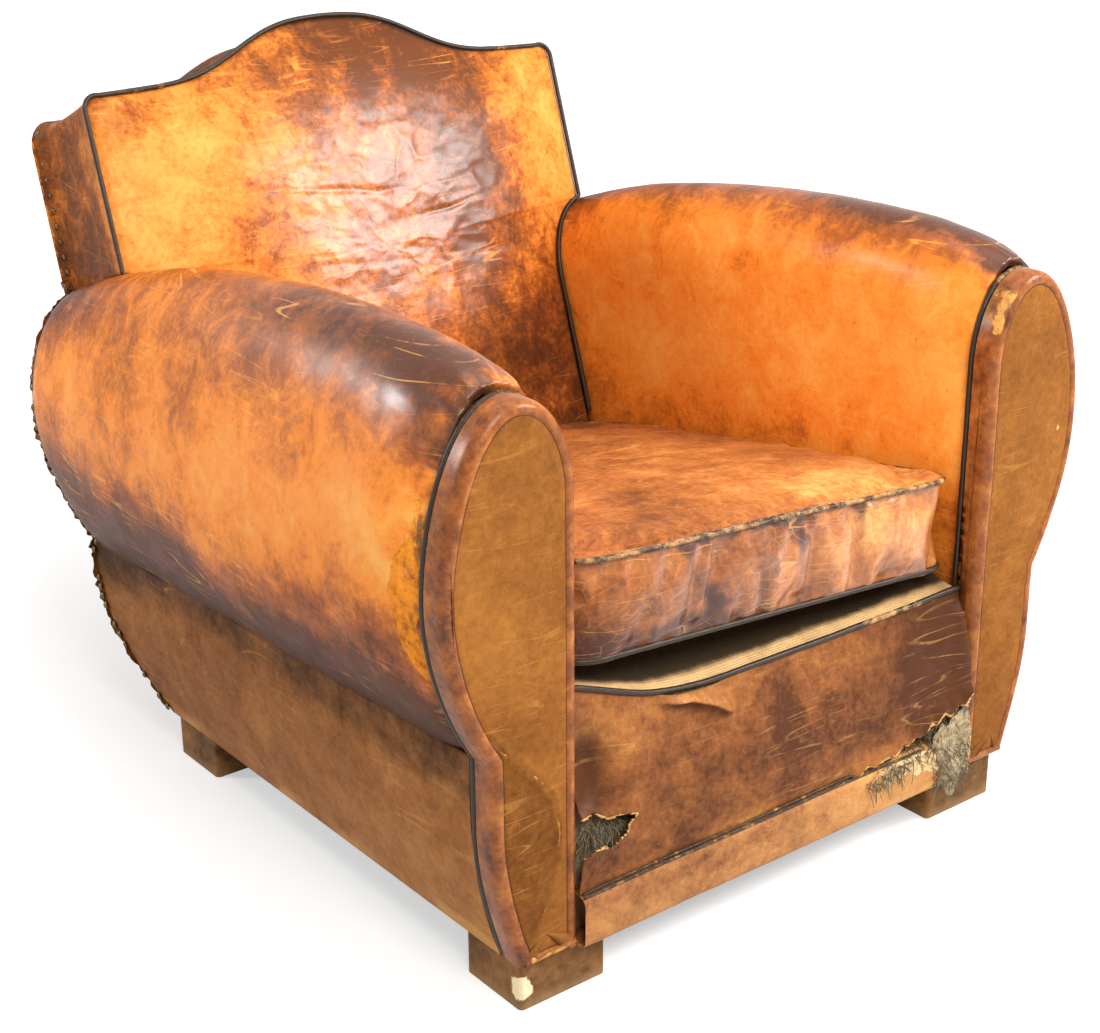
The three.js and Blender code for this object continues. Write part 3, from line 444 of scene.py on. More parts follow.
# Old leather. Fields on the mesh: the wear field sets its tone, lighter where worn, and also carries painted
# highlights and painted shade;
# the stain field darkens it for stains and for painted shade, raw bares the suede, shine polishes it, crease
# strengthens the cracks
def leather(name, look):
    g = Graph(name)
    worn, stainAndPaintedShade, raw = g.field("worn"), g.field("stainAndPaintedShade"), g.field("raw")
    shine, crease = g.field("shine"), g.field("crease")
    middle = g.noise(24, 5.0, 0.68, distortion=0.7)
    fine = g.noise(150, 3.0, 0.7)
    tone = g.sum(worn, g.mottle(6.5, look["blotch"], 4.0, 0.6),
                 g.times(g.math("SUBTRACT", middle, 0.5), look["mottle"]),
                 g.times(g.math("SUBTRACT", fine, 0.5), look["speckle"]))
    color = g.ramp(tone, [(0.0, look["deep"]), (0.3, look["base"]), (0.6, look["warm"]),
                          (1.0, look["honey"])])
    # Darker towards the stain colour where the stain field is high: real stains and painted shade
    dirtAndPaintedShade = g.band(g.sum(stainAndPaintedShade, g.mottle(20, 1.1, 5.0, 0.7)), 0.3, 0.95)
    color = g.blend(g.times(dirtAndPaintedShade, look["dirtAndPaintedShade"]), color, look["stainAndPaintedShade"])
    patches = g.band(g.noise(8, 3.0, 0.6), 0.4, 0.62)
    scratch = g.math("MAXIMUM", g.lines(g.stretched((0.7, 0.7, 8.0), (0.5, 0.6, 0.0)), 5, 0.009, 0.6),
                     g.lines(g.stretched((0.7, 0.7, 8.0), (-0.7, 0.4, 0.0)), 5, 0.009, 0.6))
    drawn = g.stretched(look["stretch"])
    veins = g.times(g.lines(drawn, 30, 0.013, 4.0), g.band(g.noise(13, 2.0, 0.6), 0.45, 0.65))
    broken = g.band(g.noise(26, 3.0, 0.7), 0.4, 0.6)
    scratch = g.math("MAXIMUM", g.times(scratch, look["scratches"]), g.times(veins, look["veins"]))
    scratch = g.times(g.times(scratch, broken), patches)
    color = g.blend(scratch, color, look["honey"])
    crackle = g.cracks(look["cells"], 0.045, drawn, 0.5)
    crackle = g.times(g.times(crackle, crease), g.band(g.noise(17, 3.0, 0.65), 0.38, 0.6))
    color = g.blend(g.times(crackle, look["crackles"]), color, look["crack"])
    pits = g.band(g.noise(230, 1.0, 0.6), 0.7, 0.76)
    color = g.blend(g.times(pits, look["pits"]), color, look["stainAndPaintedShade"])
    bare = g.band(g.sum(raw, g.mottle(85, 0.8, 4.0, 0.72)), 0.42, 0.56)
    suede = [(0.22, look["base"]), (0.42, tuple(c * 0.8 for c in look["raw"])), (0.7, look["raw"])]
    bareColor = g.ramp(g.sum(fine, g.mottle(60, 0.9, 3.0, 0.7)), suede)
    color = g.blend(bare, color, bareColor)
    rough = g.sum(look["rough"], g.mottle(40, 0.34, 3.0), g.times(shine, -look["polish"]), g.times(bare, 0.4))
    g.relief([(g.noise(600, 2.0, 0.6), look["grain"]), (crackle, -look["relief"]),
              (g.noise(48, 3.0, 0.6), look["lumps"]), (bare, -1.2)], 0.001, 0.8)
    coat = g.math("MULTIPLY", g.math("SUBTRACT", shine, bare, True), look["coat"])
    return g.surface(**{"Base Color": color, "Roughness": g.math("MAXIMUM", rough, 0.2),
                        "Specular IOR Level": look["specular"], "Coat Weight": coat,
                        "Coat Roughness": look["gloss"]})


baseLook = {
    "deep": (0.12, 0.031, 0.009), "base": (0.37, 0.098, 0.017), "warm": (0.8, 0.245, 0.034),
    "honey": (0.97, 0.43, 0.085), "stainAndPaintedShade": (0.065, 0.022, 0.009), "raw": (0.9, 0.33, 0.055),
    "crack": (0.8, 0.4, 0.11), "blotch": 0.75, "mottle": 0.9, "speckle": 0.45, "scratches": 0.6,
    "veins": 0.35, "crackles": 0.4, "rough": 0.44, "polish": 0.14, "grain": 0.3, "relief": 0.6,
    "lumps": 1.0, "coat": 0.7, "cells": 62, "stretch": (1.0, 1.0, 1.0), "dirtAndPaintedShade": 0.9, "pits": 0.25,
    "specular": 0.05, "gloss": 0.27,
}
armLook = {**baseLook, "base": (0.42, 0.107, 0.016), "warm": (0.9, 0.26, 0.027), "raw": (1.0, 0.33, 0.035),
           "blotch": 0.9, "veins": 0.0, "crackles": 0.1}
backLook = {**baseLook, "deep": (0.15, 0.045, 0.014), "warm": (0.76, 0.235, 0.034),
            "honey": (0.96, 0.385, 0.08),
            "mottle": 1.45, "speckle": 0.85, "veins": 0.2, "crackles": 0.12, "cells": 46, "coat": 1.0,
            "polish": 0.12, "relief": 1.4, "gloss": 0.33}
cushionLook = {**baseLook, "deep": (0.11, 0.036, 0.014), "base": (0.31, 0.095, 0.026),
               "warm": (0.53, 0.178, 0.045),
               "honey": (0.85, 0.42, 0.12), "stainAndPaintedShade": (0.06, 0.022, 0.018), "mottle": 1.1, "speckle": 0.7,
               "veins": 0.2, "crackles": 0.5, "cells": 60, "coat": 1.0, "stretch": (0.42, 1.0, 1.0)}
panelLook = {**baseLook, "deep": (0.09, 0.03, 0.012), "base": (0.23, 0.078, 0.025),
             "warm": (0.38, 0.143, 0.038),
             "honey": (0.68, 0.34, 0.11), "mottle": 0.95, "speckle": 0.7, "scratches": 0.4, "veins": 0.16,
             "crackles": 0.0, "raw": (0.8, 0.42, 0.15), "cells": 60, "coat": 0.3, "rough": 0.5,
             "stretch": (0.2, 1.0, 1.3)}
sideLook = {**baseLook, "deep": (0.055, 0.02, 0.008), "base": (0.18, 0.062, 0.019),
            "warm": (0.36, 0.14, 0.042),
            "honey": (0.6, 0.29, 0.09), "stainAndPaintedShade": (0.03, 0.013, 0.006), "blotch": 0.6, "mottle": 0.6,
            "speckle": 0.4, "scratches": 0.5, "veins": 0.15, "crackles": 0.0, "rough": 0.56, "coat": 0.0,
            "grain": 0.5, "raw": (0.65, 0.27, 0.06)}
facingLook = {**baseLook, "deep": (0.14, 0.048, 0.01), "base": (0.28, 0.1, 0.02), "warm": (0.42, 0.16, 0.032),
              "honey": (0.62, 0.29, 0.075), "blotch": 0.5, "mottle": 0.55, "speckle": 0.5, "scratches": 0.45,
              "veins": 0.22, "crackles": 0.0, "raw": (0.8, 0.38, 0.1), "rough": 0.62, "polish": 0.26,
              "coat": 0.4, "grain": 0.5}


# Dark cord cover, rubbed pale where the field says
def pipingMaterial(name):
    g = Graph(name)
    rub = g.band(g.sum(g.field("worn"), g.mottle(75, 1.3, 5.0, 0.7)), 0.42, 0.72)
    dark = g.blend(g.noise(40), (0.011, 0.007, 0.004), (0.045, 0.024, 0.01))
    color = g.blend(rub, dark, (0.5, 0.27, 0.095))
    g.relief([(g.noise(420), 0.5), (g.noise(90), 0.8)], 0.0008)
    return g.surface(**{"Base Color": color, "Roughness": g.sum(0.4, g.times(rub, 0.25)),
                        "Specular IOR Level": 0.3})


# Grain drawn out along the wood
def woodMaterial(name, light, dark, rough=0.6):
    g = Graph(name)
    grain = g.noise(60, 5.0, 0.6, g.stretched((1.0, 0.12, 1.0)), 0.5)
    color = g.ramp(grain, [(0.25, dark), (0.75, light)])
    g.relief([(grain, 0.5), (g.noise(300), 0.3)], 0.0006)
    return g.surface(**{"Base Color": color, "Roughness": g.sum(rough, g.mottle(50, 0.2))})


# Feet: old stain, scuffed pale along the lower front corner
def footMaterial(name, chipped):
    g = Graph(name)
    parts = g.add("ShaderNodeSeparateXYZ", {0: g.place})
    tone = g.sum(g.noise(16, 5.0, 0.65), g.mottle(90, 0.5))
    color = g.ramp(tone, [(0.3, (0.09, 0.041, 0.015)), (0.52, (0.22, 0.1, 0.032)),
                          (0.75, (0.36, 0.17, 0.055))])
    low = g.band(parts.outputs[2], 0.016, 0.0)
    color = g.blend(g.times(low, 0.6), color, (0.34, 0.2, 0.09))
    if chipped:
        shift = g.add("ShaderNodeVectorMath", {0: g.place, 1: chipped["place"]}, operation="SUBTRACT")
        away = g.add("ShaderNodeVectorMath", {0: shift.outputs[0]}, operation="LENGTH")
        spot = g.band(g.sum(away.outputs["Value"], g.mottle(55, 0.024)), chipped["size"],
                      chipped["size"] * 0.8)
        color = g.blend(spot, color, (0.9, 0.74, 0.46))
    g.relief([(g.noise(120, 5.0), 1.2), (g.noise(30), 2.0)], 0.001)
    return g.surface(**{"Base Color": color, "Roughness": g.sum(0.6, g.mottle(40, 0.3)),
                        "Specular IOR Level": 0.12})


# Plain weave of crossing threads
def weaveMaterial(name, light, dark, pitch=650, rough=0.9):
    g = Graph(name)
    across = g.add("ShaderNodeTexWave", {"Vector": g.place, "Scale": pitch / 6.3, "Distortion": 1.2},
                   bands_direction="X").outputs["Fac"]
    along = g.add("ShaderNodeTexWave", {"Vector": g.place, "Scale": pitch / 6.3, "Distortion": 1.2},
                  bands_direction="Y").outputs["Fac"]
    weave = g.math("MAXIMUM", across, along)
    tone = g.sum(g.times(weave, 0.4), g.noise(24, 5.0, 0.65), g.mottle(150, 0.4))
    color = g.ramp(tone, [(0.35, dark), (0.95, light)])
    # Near black where the stain field says, which on the deck is painted shadow under the cushion, and dirty
    # where the noise is high
    dirtAndPaintedShadow = g.band(g.sum(g.field("stainAndPaintedShade"), g.mottle(30, 0.7)), 0.2, 0.9)
    color = g.blend(g.times(dirtAndPaintedShadow, 0.97), color, tuple(c * 0.06 for c in dark))
    g.relief([(weave, 0.6), (g.noise(60), 1.4)], 0.0009)
    return g.surface(**{"Base Color": color, "Roughness": rough, "Sheen Weight": 0.06, "Sheen Roughness": 0.5,
                        "Specular IOR Level": 0.15})


# Matted strands, drawn out upwards
def hairMaterial(name, light, dark):
    g = Graph(name)
    strands = g.noise(210, 5.0, 0.7, g.stretched((1.0, 1.0, 0.35)), 1.5)
    tone = g.sum(strands, g.mottle(25, 0.8))
    color = g.ramp(tone, [(0.25, dark), (0.85, light)])
    g.relief([(strands, 2.5), (g.noise(70), 2.0)], 0.0015)
    return g.surface(**{"Base Color": color, "Roughness": 0.92})


# Dull metal, darker in patches
def metalMaterial(name, light, dark, rough=0.4):
    g = Graph(name)
    color = g.blend(g.noise(70, 5.0), dark, light)
    g.relief([(g.noise(200), 0.5)], 0.0005)
    return g.surface(**{"Base Color": color, "Roughness": g.sum(rough, g.mottle(120, 0.3)), "Metallic": 1.0})


# Camera at the photograph's angle

cameraSet = {"place": (-1232.2, -1193.4, 1077.5), "yaw": 38.052, "pitch": -21.308, "roll": -0.452,
             "lens": 63.65}


# Looks along yaw and pitch, turned about that line by roll
def makeCamera(look):
    yaw, pitch, roll = (math.radians(look[key]) for key in ("yaw", "pitch", "roll"))
    ahead = Vector((math.sin(yaw) * math.cos(pitch), math.cos(yaw) * math.cos(pitch), math.sin(pitch)))
    right = Vector((math.cos(yaw), -math.sin(yaw), 0))
    above = right.cross(ahead)
    tilted = right * math.cos(roll) + above * math.sin(roll)
    top = above * math.cos(roll) - right * math.sin(roll)
    data = bpy.data.cameras.new("camera")
    data.lens = look["lens"]
    data.sensor_width = 36
    camera = bpy.data.objects.new("camera", data)
    camera.matrix_world = Matrix.Translation(Vector(toMetres(look["place"]))) @ Matrix(
        (tilted, top, -ahead)).transposed().to_4x4()
    bpy.context.scene.collection.objects.link(camera)
    bpy.context.scene.camera = camera


makeCamera(cameraSet)

# Lights and floor

lightSet = [
    {"name": "key", "place": (-900, -1850, 2450), "aim": (0, 350, 350), "size": 1.2, "power": 62},
    {"name": "sheen", "place": (1450, -1120, 1700), "aim": (0, 600, 550), "size": 0.9, "power": 60},
    {"name": "window", "place": (-1950, 1950, 1500), "aim": (-350, 150, 500), "size": 0.4, "power": 24},
    {"name": "top", "place": (100, 250, 2800), "aim": (0, 350, 400), "size": 2.0, "power": 26},
]


# Square lamps, each facing its aim
def makeLights(lights):
    for look in lights:
        data = bpy.data.lights.new(look["name"], "AREA")
        data.energy = look["power"]
        data.size = look["size"]
        lamp = bpy.data.objects.new(look["name"], data)
        place = Vector(toMetres(look["place"]))
        lamp.location = place
        lamp.rotation_euler = (Vector(toMetres(look["aim"])) - place).to_track_quat("-Z", "Y").to_euler()
        bpy.context.scene.collection.objects.link(lamp)


# 1 for rays from the camera, in reflections and through glass
def seenDirectly(tree):
    path = tree.nodes.new("ShaderNodeLightPath")
    total = path.outputs["Is Camera Ray"]
    for kind in ("Is Glossy Ray", "Is Transmission Ray"):
        both = tree.nodes.new("ShaderNodeMath")
        both.operation = "MAXIMUM"
        tree.links.new(total, both.inputs[0])
        tree.links.new(path.outputs[kind], both.inputs[1])
        total = both.outputs[0]
    return total


# Soft light all round, plain white where it is seen
def makeWorld(strength):
    world = bpy.data.worlds.new("world")
    bpy.context.scene.world = world
    world.use_nodes = True
    tree = world.node_tree
    soft = tree.nodes["Background"]
    soft.inputs["Color"].default_value = (1, 0.985, 0.96, 1)
    soft.inputs["Strength"].default_value = strength
    white = tree.nodes.new("ShaderNodeBackground")
    white.inputs["Color"].default_value = (1, 1, 1, 1)
    join = tree.nodes.new("ShaderNodeMixShader")
    tree.links.new(seenDirectly(tree), join.inputs[0])
    tree.links.new(soft.outputs[0], join.inputs[1])
    tree.links.new(white.outputs[0], join.inputs[2])
    tree.links.new(join.outputs[0], tree.nodes["World Output"].inputs["Surface"])


# White paper: it glows more away from the chair, so that only the shadow near it shows
def makeFloor():
    half = 9000
    corners = np.array([[[-half, -half, -0.5], [half, -half, -0.5]],
                        [[-half, half, -0.5], [half, half, -0.5]]], float)
    floor = surface("floor", corners, inside=(0, 0, -1000))
    g = Graph("floorPaper")
    away = g.add("ShaderNodeVectorMath", {0: g.place}, operation="LENGTH").outputs["Value"]
    glow = g.times(seenDirectly(g.tree), g.sum(g.times(g.band(away, 0.6, 1.9), 0.55), 0.47))
    floor.data.materials.append(g.surface(**{"Base Color": (0.62, 0.62, 0.615), "Roughness": 0.9,
                                             "Specular IOR Level": 0.1, "Emission Color": (1.0, 1.0, 1.0),
                                             "Emission Strength": glow}))


makeLights(lightSet)
makeWorld(0.36)
makeFloor()
bpy.context.scene.view_settings.view_transform = "Standard"

# Pieces ride on the one body


# Material, body and the nodes that a piece replaces. The slot name is not used
def settle(piece, material, slotName, *nodes):
    if not piece.data.materials:
        piece.data.materials.append(material)
    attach(piece, "root")
    if nodes:
        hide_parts(*nodes)
    return piece


# Arms

armSet = {
    "innerX": 267, "ridgeX": 329, "bulgeX": 411, "bulgeMore": 8, "bulgeZ": (424, 392), "tuckX": 363,
    "shoulder": 94, "frontTop": 594, "peakTop": 627, "peakY": 220, "rearTop": 520, "seamZ": (268, 237),
    "frontY": 35, "rearY": 775, "lean": 0.187, "columns": (30, 44, 64, 52), "pinch": 7, "gathers": 4.2,
    "dents": 2.6, "smallDents": 0.7,
}
armRidgeRearY = armSet["rearY"] + armSet["lean"] * (armSet["rearTop"] - armSet["seamZ"][1])


# Height of the arm's ridge: a quick rise to its peak, then a slow fall
def ridgeZ(y):
    peak, peakY = armSet["peakTop"], armSet["peakY"]
    share = np.clip(y / peakY, 0, 1)
    front = mix(armSet["frontTop"], peak, np.sin(np.pi / 2 * share) ** 0.6)
    rear = mix(peak, armSet["rearTop"], ((y - peakY) / (armRidgeRearY - peakY)) ** 2)
    return np.where(y < peakY, front, rear)


# Height of the seam under the bulge, falling evenly to the rear
def seamZ(y):
    return mix(*armSet["seamZ"], y / armRidgeRearY)


# The back's leaning plane and thickness, and how the chair ends behind and below
planeSet = {
    "y": 726, "z": 559, "thick": 136, "thickZ": 741, "taper": 0.1, "droop": 7, "crestZ": 721.0,
    "rearY": 778, "rearZ": 240, "footY": 661, "footZ": 50, "footX": 333, "sideOut": 30, "sideRise": 150,
}


# The leaning front of the back at each height, and the place so far into its thickness
def backPlane(z, depth=0.0):
    thick = planeSet["thick"] + (planeSet["thickZ"] - z) * planeSet["taper"]
    y = planeSet["y"] + leanSlope * (z - planeSet["z"]) + thick * depth * math.cos(leanAngle)
    return y, z - thick * depth * math.sin(leanAngle) - planeSet["droop"] * depth * depth


# Outside back: straight down from the crest, then curving in towards the floor
def outsideBackY(z):
    rearY, rearZ, footZ = planeSet["rearY"], planeSet["rearZ"], planeSet["footZ"]
    topY, topZ = backPlane(planeSet["crestZ"], 1.0)
    straight = rearY + (topY - rearY) / (topZ - rearZ) * (z - rearZ)
    share = np.clip((z - footZ) / (rearZ - footZ), 0, 1)
    low = mix(planeSet["footY"], rearY, np.sin(np.pi / 2 * share) ** 0.8)
    return np.where(z >= rearZ, straight, low)


# Rear end of the arm, leaning back and never behind the outside back
def armEndY(z):
    return np.minimum(armSet["rearY"] + armSet["lean"] * (z - armSet["seamZ"][1]), outsideBackY(z))


# Outside of the lower panel, curving in towards the floor
def sideX(z):
    share = np.clip((z - planeSet["footZ"]) / planeSet["sideRise"], 0, 1)
    return planeSet["footX"] + planeSet["sideOut"] * np.sin(np.pi / 2 * share)


# Cubic curve between a and d with handles b and c
def curve(a, b, c, d, count, last=False):
    t = np.linspace(0, 1, count, endpoint=last)
    return (a * (1 - t) ** 3 + 3 * b * (1 - t) ** 2 * t + 3 * c * (1 - t) * t**2 + d * t**3)


# Section of the arm at each y: wall, arch, bulge and tuck, as x and z
def armLine(y, counts, bottomZ=180.0):
    y = np.asarray(y, float)[:, None]
    top, share = ridgeZ(y), y / armRidgeRearY
    inner, ridge, tuck = armSet["innerX"], armSet["ridgeX"], armSet["tuckX"]
    widest = armSet["bulgeX"] + armSet["bulgeMore"] * np.sin(np.pi * share)
    widestZ = mix(*armSet["bulgeZ"], share)
    seam, shoulder, reach = seamZ(y), top - armSet["shoulder"], widest - ridge
    one = np.ones_like(y)
    t = np.linspace(0, 1, counts[0], endpoint=False)
    xs = [inner * one * np.ones_like(t),
          curve(inner * one, inner * one, mix(ridge, inner, 0.56) * one, ridge * one, counts[1]),
          curve(ridge * one, ridge + 0.58 * reach, widest, widest, counts[2]),
          curve(widest, widest, mix(tuck, widest, 0.42), tuck * one, counts[3], True)]
    zs = [mix(bottomZ * one, shoulder, t),
          curve(shoulder, shoulder + 54.5, top, top, counts[1]),
          curve(top, top, mix(widestZ, top, 0.46), widestZ, counts[2]),
          curve(widestZ, mix(widestZ, seam, 0.4), mix(seam, widestZ, 0.2), seam, counts[3], True)]
    return np.concatenate(xs, axis=1), np.concatenate(zs, axis=1)


# Outward directions of a section
def sideways(x, z):
    dx, dz = np.gradient(x, axis=-1), np.gradient(z, axis=-1)
    size = np.hypot(dx, dz)
    return -dz / size, dx / size


# Doubles the values of the first and last rows, for the edges that turn in
def turnedIn(value):
    return np.concatenate([value[:1], value[:1], value, value[-1:], value[-1:]], axis=0)


# Leather over an arm: its sections pushed out by gathers, dents and fullness, less the pinch at
# both ends. column runs 0 to 1 from the inner wall over the arm to the seam, and back is the
# distance behind the facing
def armCover(side):
    share = np.concatenate([np.linspace(0, 0.14, 60, endpoint=False), np.linspace(0.14, 1, 130)])
    frontY, pinched = armSet["frontY"], armSet["pinch"]
    y = mix(frontY, armRidgeRearY, share)
    x, z = armLine(y, armSet["columns"])
    nx, nz = sideways(x, z)
    column = np.linspace(0, 1, x.shape[1])[None, :] * np.ones((len(y), 1))
    length = np.cumsum(np.hypot(np.diff(x, axis=1, prepend=x[:, :1]), np.diff(z, axis=1, prepend=z[:, :1])),
                       axis=1)
    yy = y[:, None] * np.ones_like(x)
    seed = 3 if side > 0 else 7
    flat = onFlat(length, yy)
    back = yy - frontY
    over = smooth(column, 0.2, 0.34) * (1 - smooth(column, 0.8, 0.95))
    # Pleats run back from the piping, spaced by the noise along the edge
    wander = layered(np.stack([length * 1.6, yy * 0.35, yy * 0], axis=-1), 17, seed)
    gathers = wander * over * armSet["gathers"] * np.exp(-back / 24)
    dents = layered(flat, 150, seed + 20) * armSet["dents"]
    dents += layered(flat, 46, seed + 30) * armSet["smallDents"]
    dents *= smooth(yy, frontY, 80) * (1 - 0.7 * smooth(yy, 740, 800))
    pinch = pinched * np.exp(-back / 22)
    pinch += np.minimum(pinched * np.exp(-(armRidgeRearY - yy) / 13), pinched)
    full = 5 * bump(yy, 105, 60) * bump(column, 0.62, 0.14)
    lift = gathers + dents + full - pinch
    px, pz = x + nx * lift, z + nz * lift
    py = mix(frontY, armEndY(pz), share[:, None])
    points = np.stack([px, py, pz], axis=-1)
    # Both edges and both ends turn in under the neighbouring piece
    inward = np.stack([-nx, np.zeros_like(nx), -nz], axis=-1)
    first, last, into, out = points[:1], points[-1:], inward[:1], inward[-1:]
    points = np.concatenate([first + into * 9 + [0, 3, 0], first + into * 3 + [0, 0.4, 0], points,
                             last + out * 4, last + out * 12 + [0, -3, 0]], axis=0)
    py, pz, column, over = (turnedIn(value) for value in (py, pz, column, over))
    back = py - frontY
    place = np.stack([points[..., 0] + 5000 * (side > 0), py, pz], axis=-1)
    low = 1 - smooth(pz + 26 * layered(place, 50, 45), 262, 440)
    outer = smooth(column, 0.5, 0.62)
    inner = 1 - smooth(column, 0.12, 0.3)
    topFront = bump(column, 0.46, 0.12) * (1 - smooth(py, 160, 420))
    paintedPleatLight = np.exp(-back / 26) * over
    # Painted shade: the outer flank is made much darker low down, where the bulge turns under away from the
    # light
    worn = 0.63 + 0.16 * layered(place, 160, 41) - 0.9 * low * outer - 0.34 * topFront
    # Painted light and shade: streaks lighter and darker by the noise along the gathers behind the facing
    worn += 0.9 * paintedPleatLight * layered(np.stack([place[..., 0], place[..., 2], py * 0.2], axis=-1), 9, 43)
    # Painted shade: the inner wall is darker low down, next to the cushion
    worn -= 0.3 * inner * (1 - smooth(pz, 330, 430)) - 0.12 * bump(py, 330, 120) * outer
    worn -= 0.2 * smooth(py, 560, 760) * (1 - outer) + 0.12 * smooth(py, 640, 790)
    worn -= (0.3 if side < 0 else 0.6) * bump(column, 0.43, 0.16)
    # Painted shade under the bulge on the lower outer flank and in the band just above the seam, besides real
    # stains
    stainAndPaintedShade = (0.12 + 0.42 * smooth(low, 0.3, 1.0) * outer + 0.42 * topFront
             + 0.5 * bump(pz, seamZ(py) + 14, 22) * outer)
    stainAndPaintedShade += 0.3 * np.exp(-back / 14) + 0.35 * smooth(py, 700, 800) * inner
    polished = 0.1 + 0.9 * bump(column, 0.45, 0.17) * (1 - smooth(py, 300, 600)) + 0.12 * over * (1 - low)
    raw = np.zeros_like(py)
    if side < 0:
        # Torn strip beside the facing, widest low down
        reach = 38 + 26 * bump(pz, 405, 45) + 14 * layered(place, 40, 53)
        upright = smooth(pz, 328, 372) * (1 - smooth(pz, 470, 545))
        patch = (1 - smooth(py, reach, reach + 26)) * upright * outer
        flakes = layered(np.stack([place[..., 0], py, pz * 0.45], axis=-1), 11, 55, 4)
        raw = patch * (0.72 + 0.8 * flakes)
        stainAndPaintedShade += 0.4 * patch * smooth(-flakes, 0.1, 0.3)
        worn += 0.1 * bump(py, 90, 50) * bump(pz, 450, 90) * outer
    else:
        worn -= 0.28 * bump(py, 120, 110) * bump(column, 0.52, 0.12)
        stainAndPaintedShade += 0.5 * bump(py, 110, 90) * bump(column, 0.5, 0.1)
        worn += (0.16 * bump(pz, 520, 60) * bump(py, 120, 90) * (1 - outer)
                 + 0.16 * (1 - smooth(column, 0.24, 0.36)))
    fields = {"worn": worn, "stainAndPaintedShade": stainAndPaintedShade, "raw": raw, "shine": polished,
              "crease": np.clip(0.25 + 0.8 * topFront + 0.4 * layered(place, 90, 61), 0, 1)}
    points[..., 0] *= side
    name = "armLeatherRight" if side > 0 else "armLeatherLeft"
    return surface(name, points, inside=(side * 335, 420, 400), attributes=fields)


armMaterial = leather("armLeatherMaterial", armLook)
for side, word in ((-1, "left"), (1, "right")):
    piece = armCover(side)
    settle(piece, armMaterial, "arm_leather", f"arm_cover_{word}", f"arm_stuffing_{word}")
print("arms done")

# Facings


# Outline of a facing from the top down the outside to the foot, then up the inner wall, with
# equal counts on both ways so that the two sides can meet on one upright spine
def facingOutline(count, bottomZ=50.3):
    x, z = armLine(np.array([0.0]), (60, 60, 70, 60), bottomZ)
    lowerZ = np.linspace(armSet["seamZ"][0], bottomZ, 60)[1:]
    line = np.stack([np.concatenate([x[0], sideX(lowerZ)]), np.concatenate([z[0], lowerZ])], axis=-1)
    top = np.argmax(line[:, 1])
    footX = (armSet["innerX"] + sideX(bottomZ)) / 2
    inner = np.vstack([line[: top + 1][::-1], [[footX, bottomZ]]])
    outer = np.vstack([line[top:], [[footX, bottomZ]]])
    return np.vstack([resample(outer, count // 2 + 1)[:-1], resample(inner, count // 2 + 1)[::-1][:-1]])


# Closed outline moved sideways by a distance
def inset(line, distance):
    along = unit(np.roll(line, -1, axis=0) - np.roll(line, 1, axis=0))
    return line + np.stack([along[:, 1], -along[:, 0]], axis=-1) * distance


facingSet = {
    "count": 440, "roll": 12.5,
    "flap": [(344, 272), (311, 241), (295, 216), (289, 183), (291, 152), (300, 120), (318, 90), (322, 60)],
    "tear": [(275, 540), (281, 562), (296, 577), (322, 584), (338, 584)],
    # How far in each ring of the rolled edge lies, and its y
    "profile": [(0, 26), (0, 20), (0, 14), (0.1, 10.4), (0.8, 6.9), (2.2, 4), (4.2, 1.7), (6.6, 0.35), (9, 0),
                (11, 0.3), (12.2, 1.3), (13.2, 1.7), (14.6, 1.2), (17, 0.9)],
}


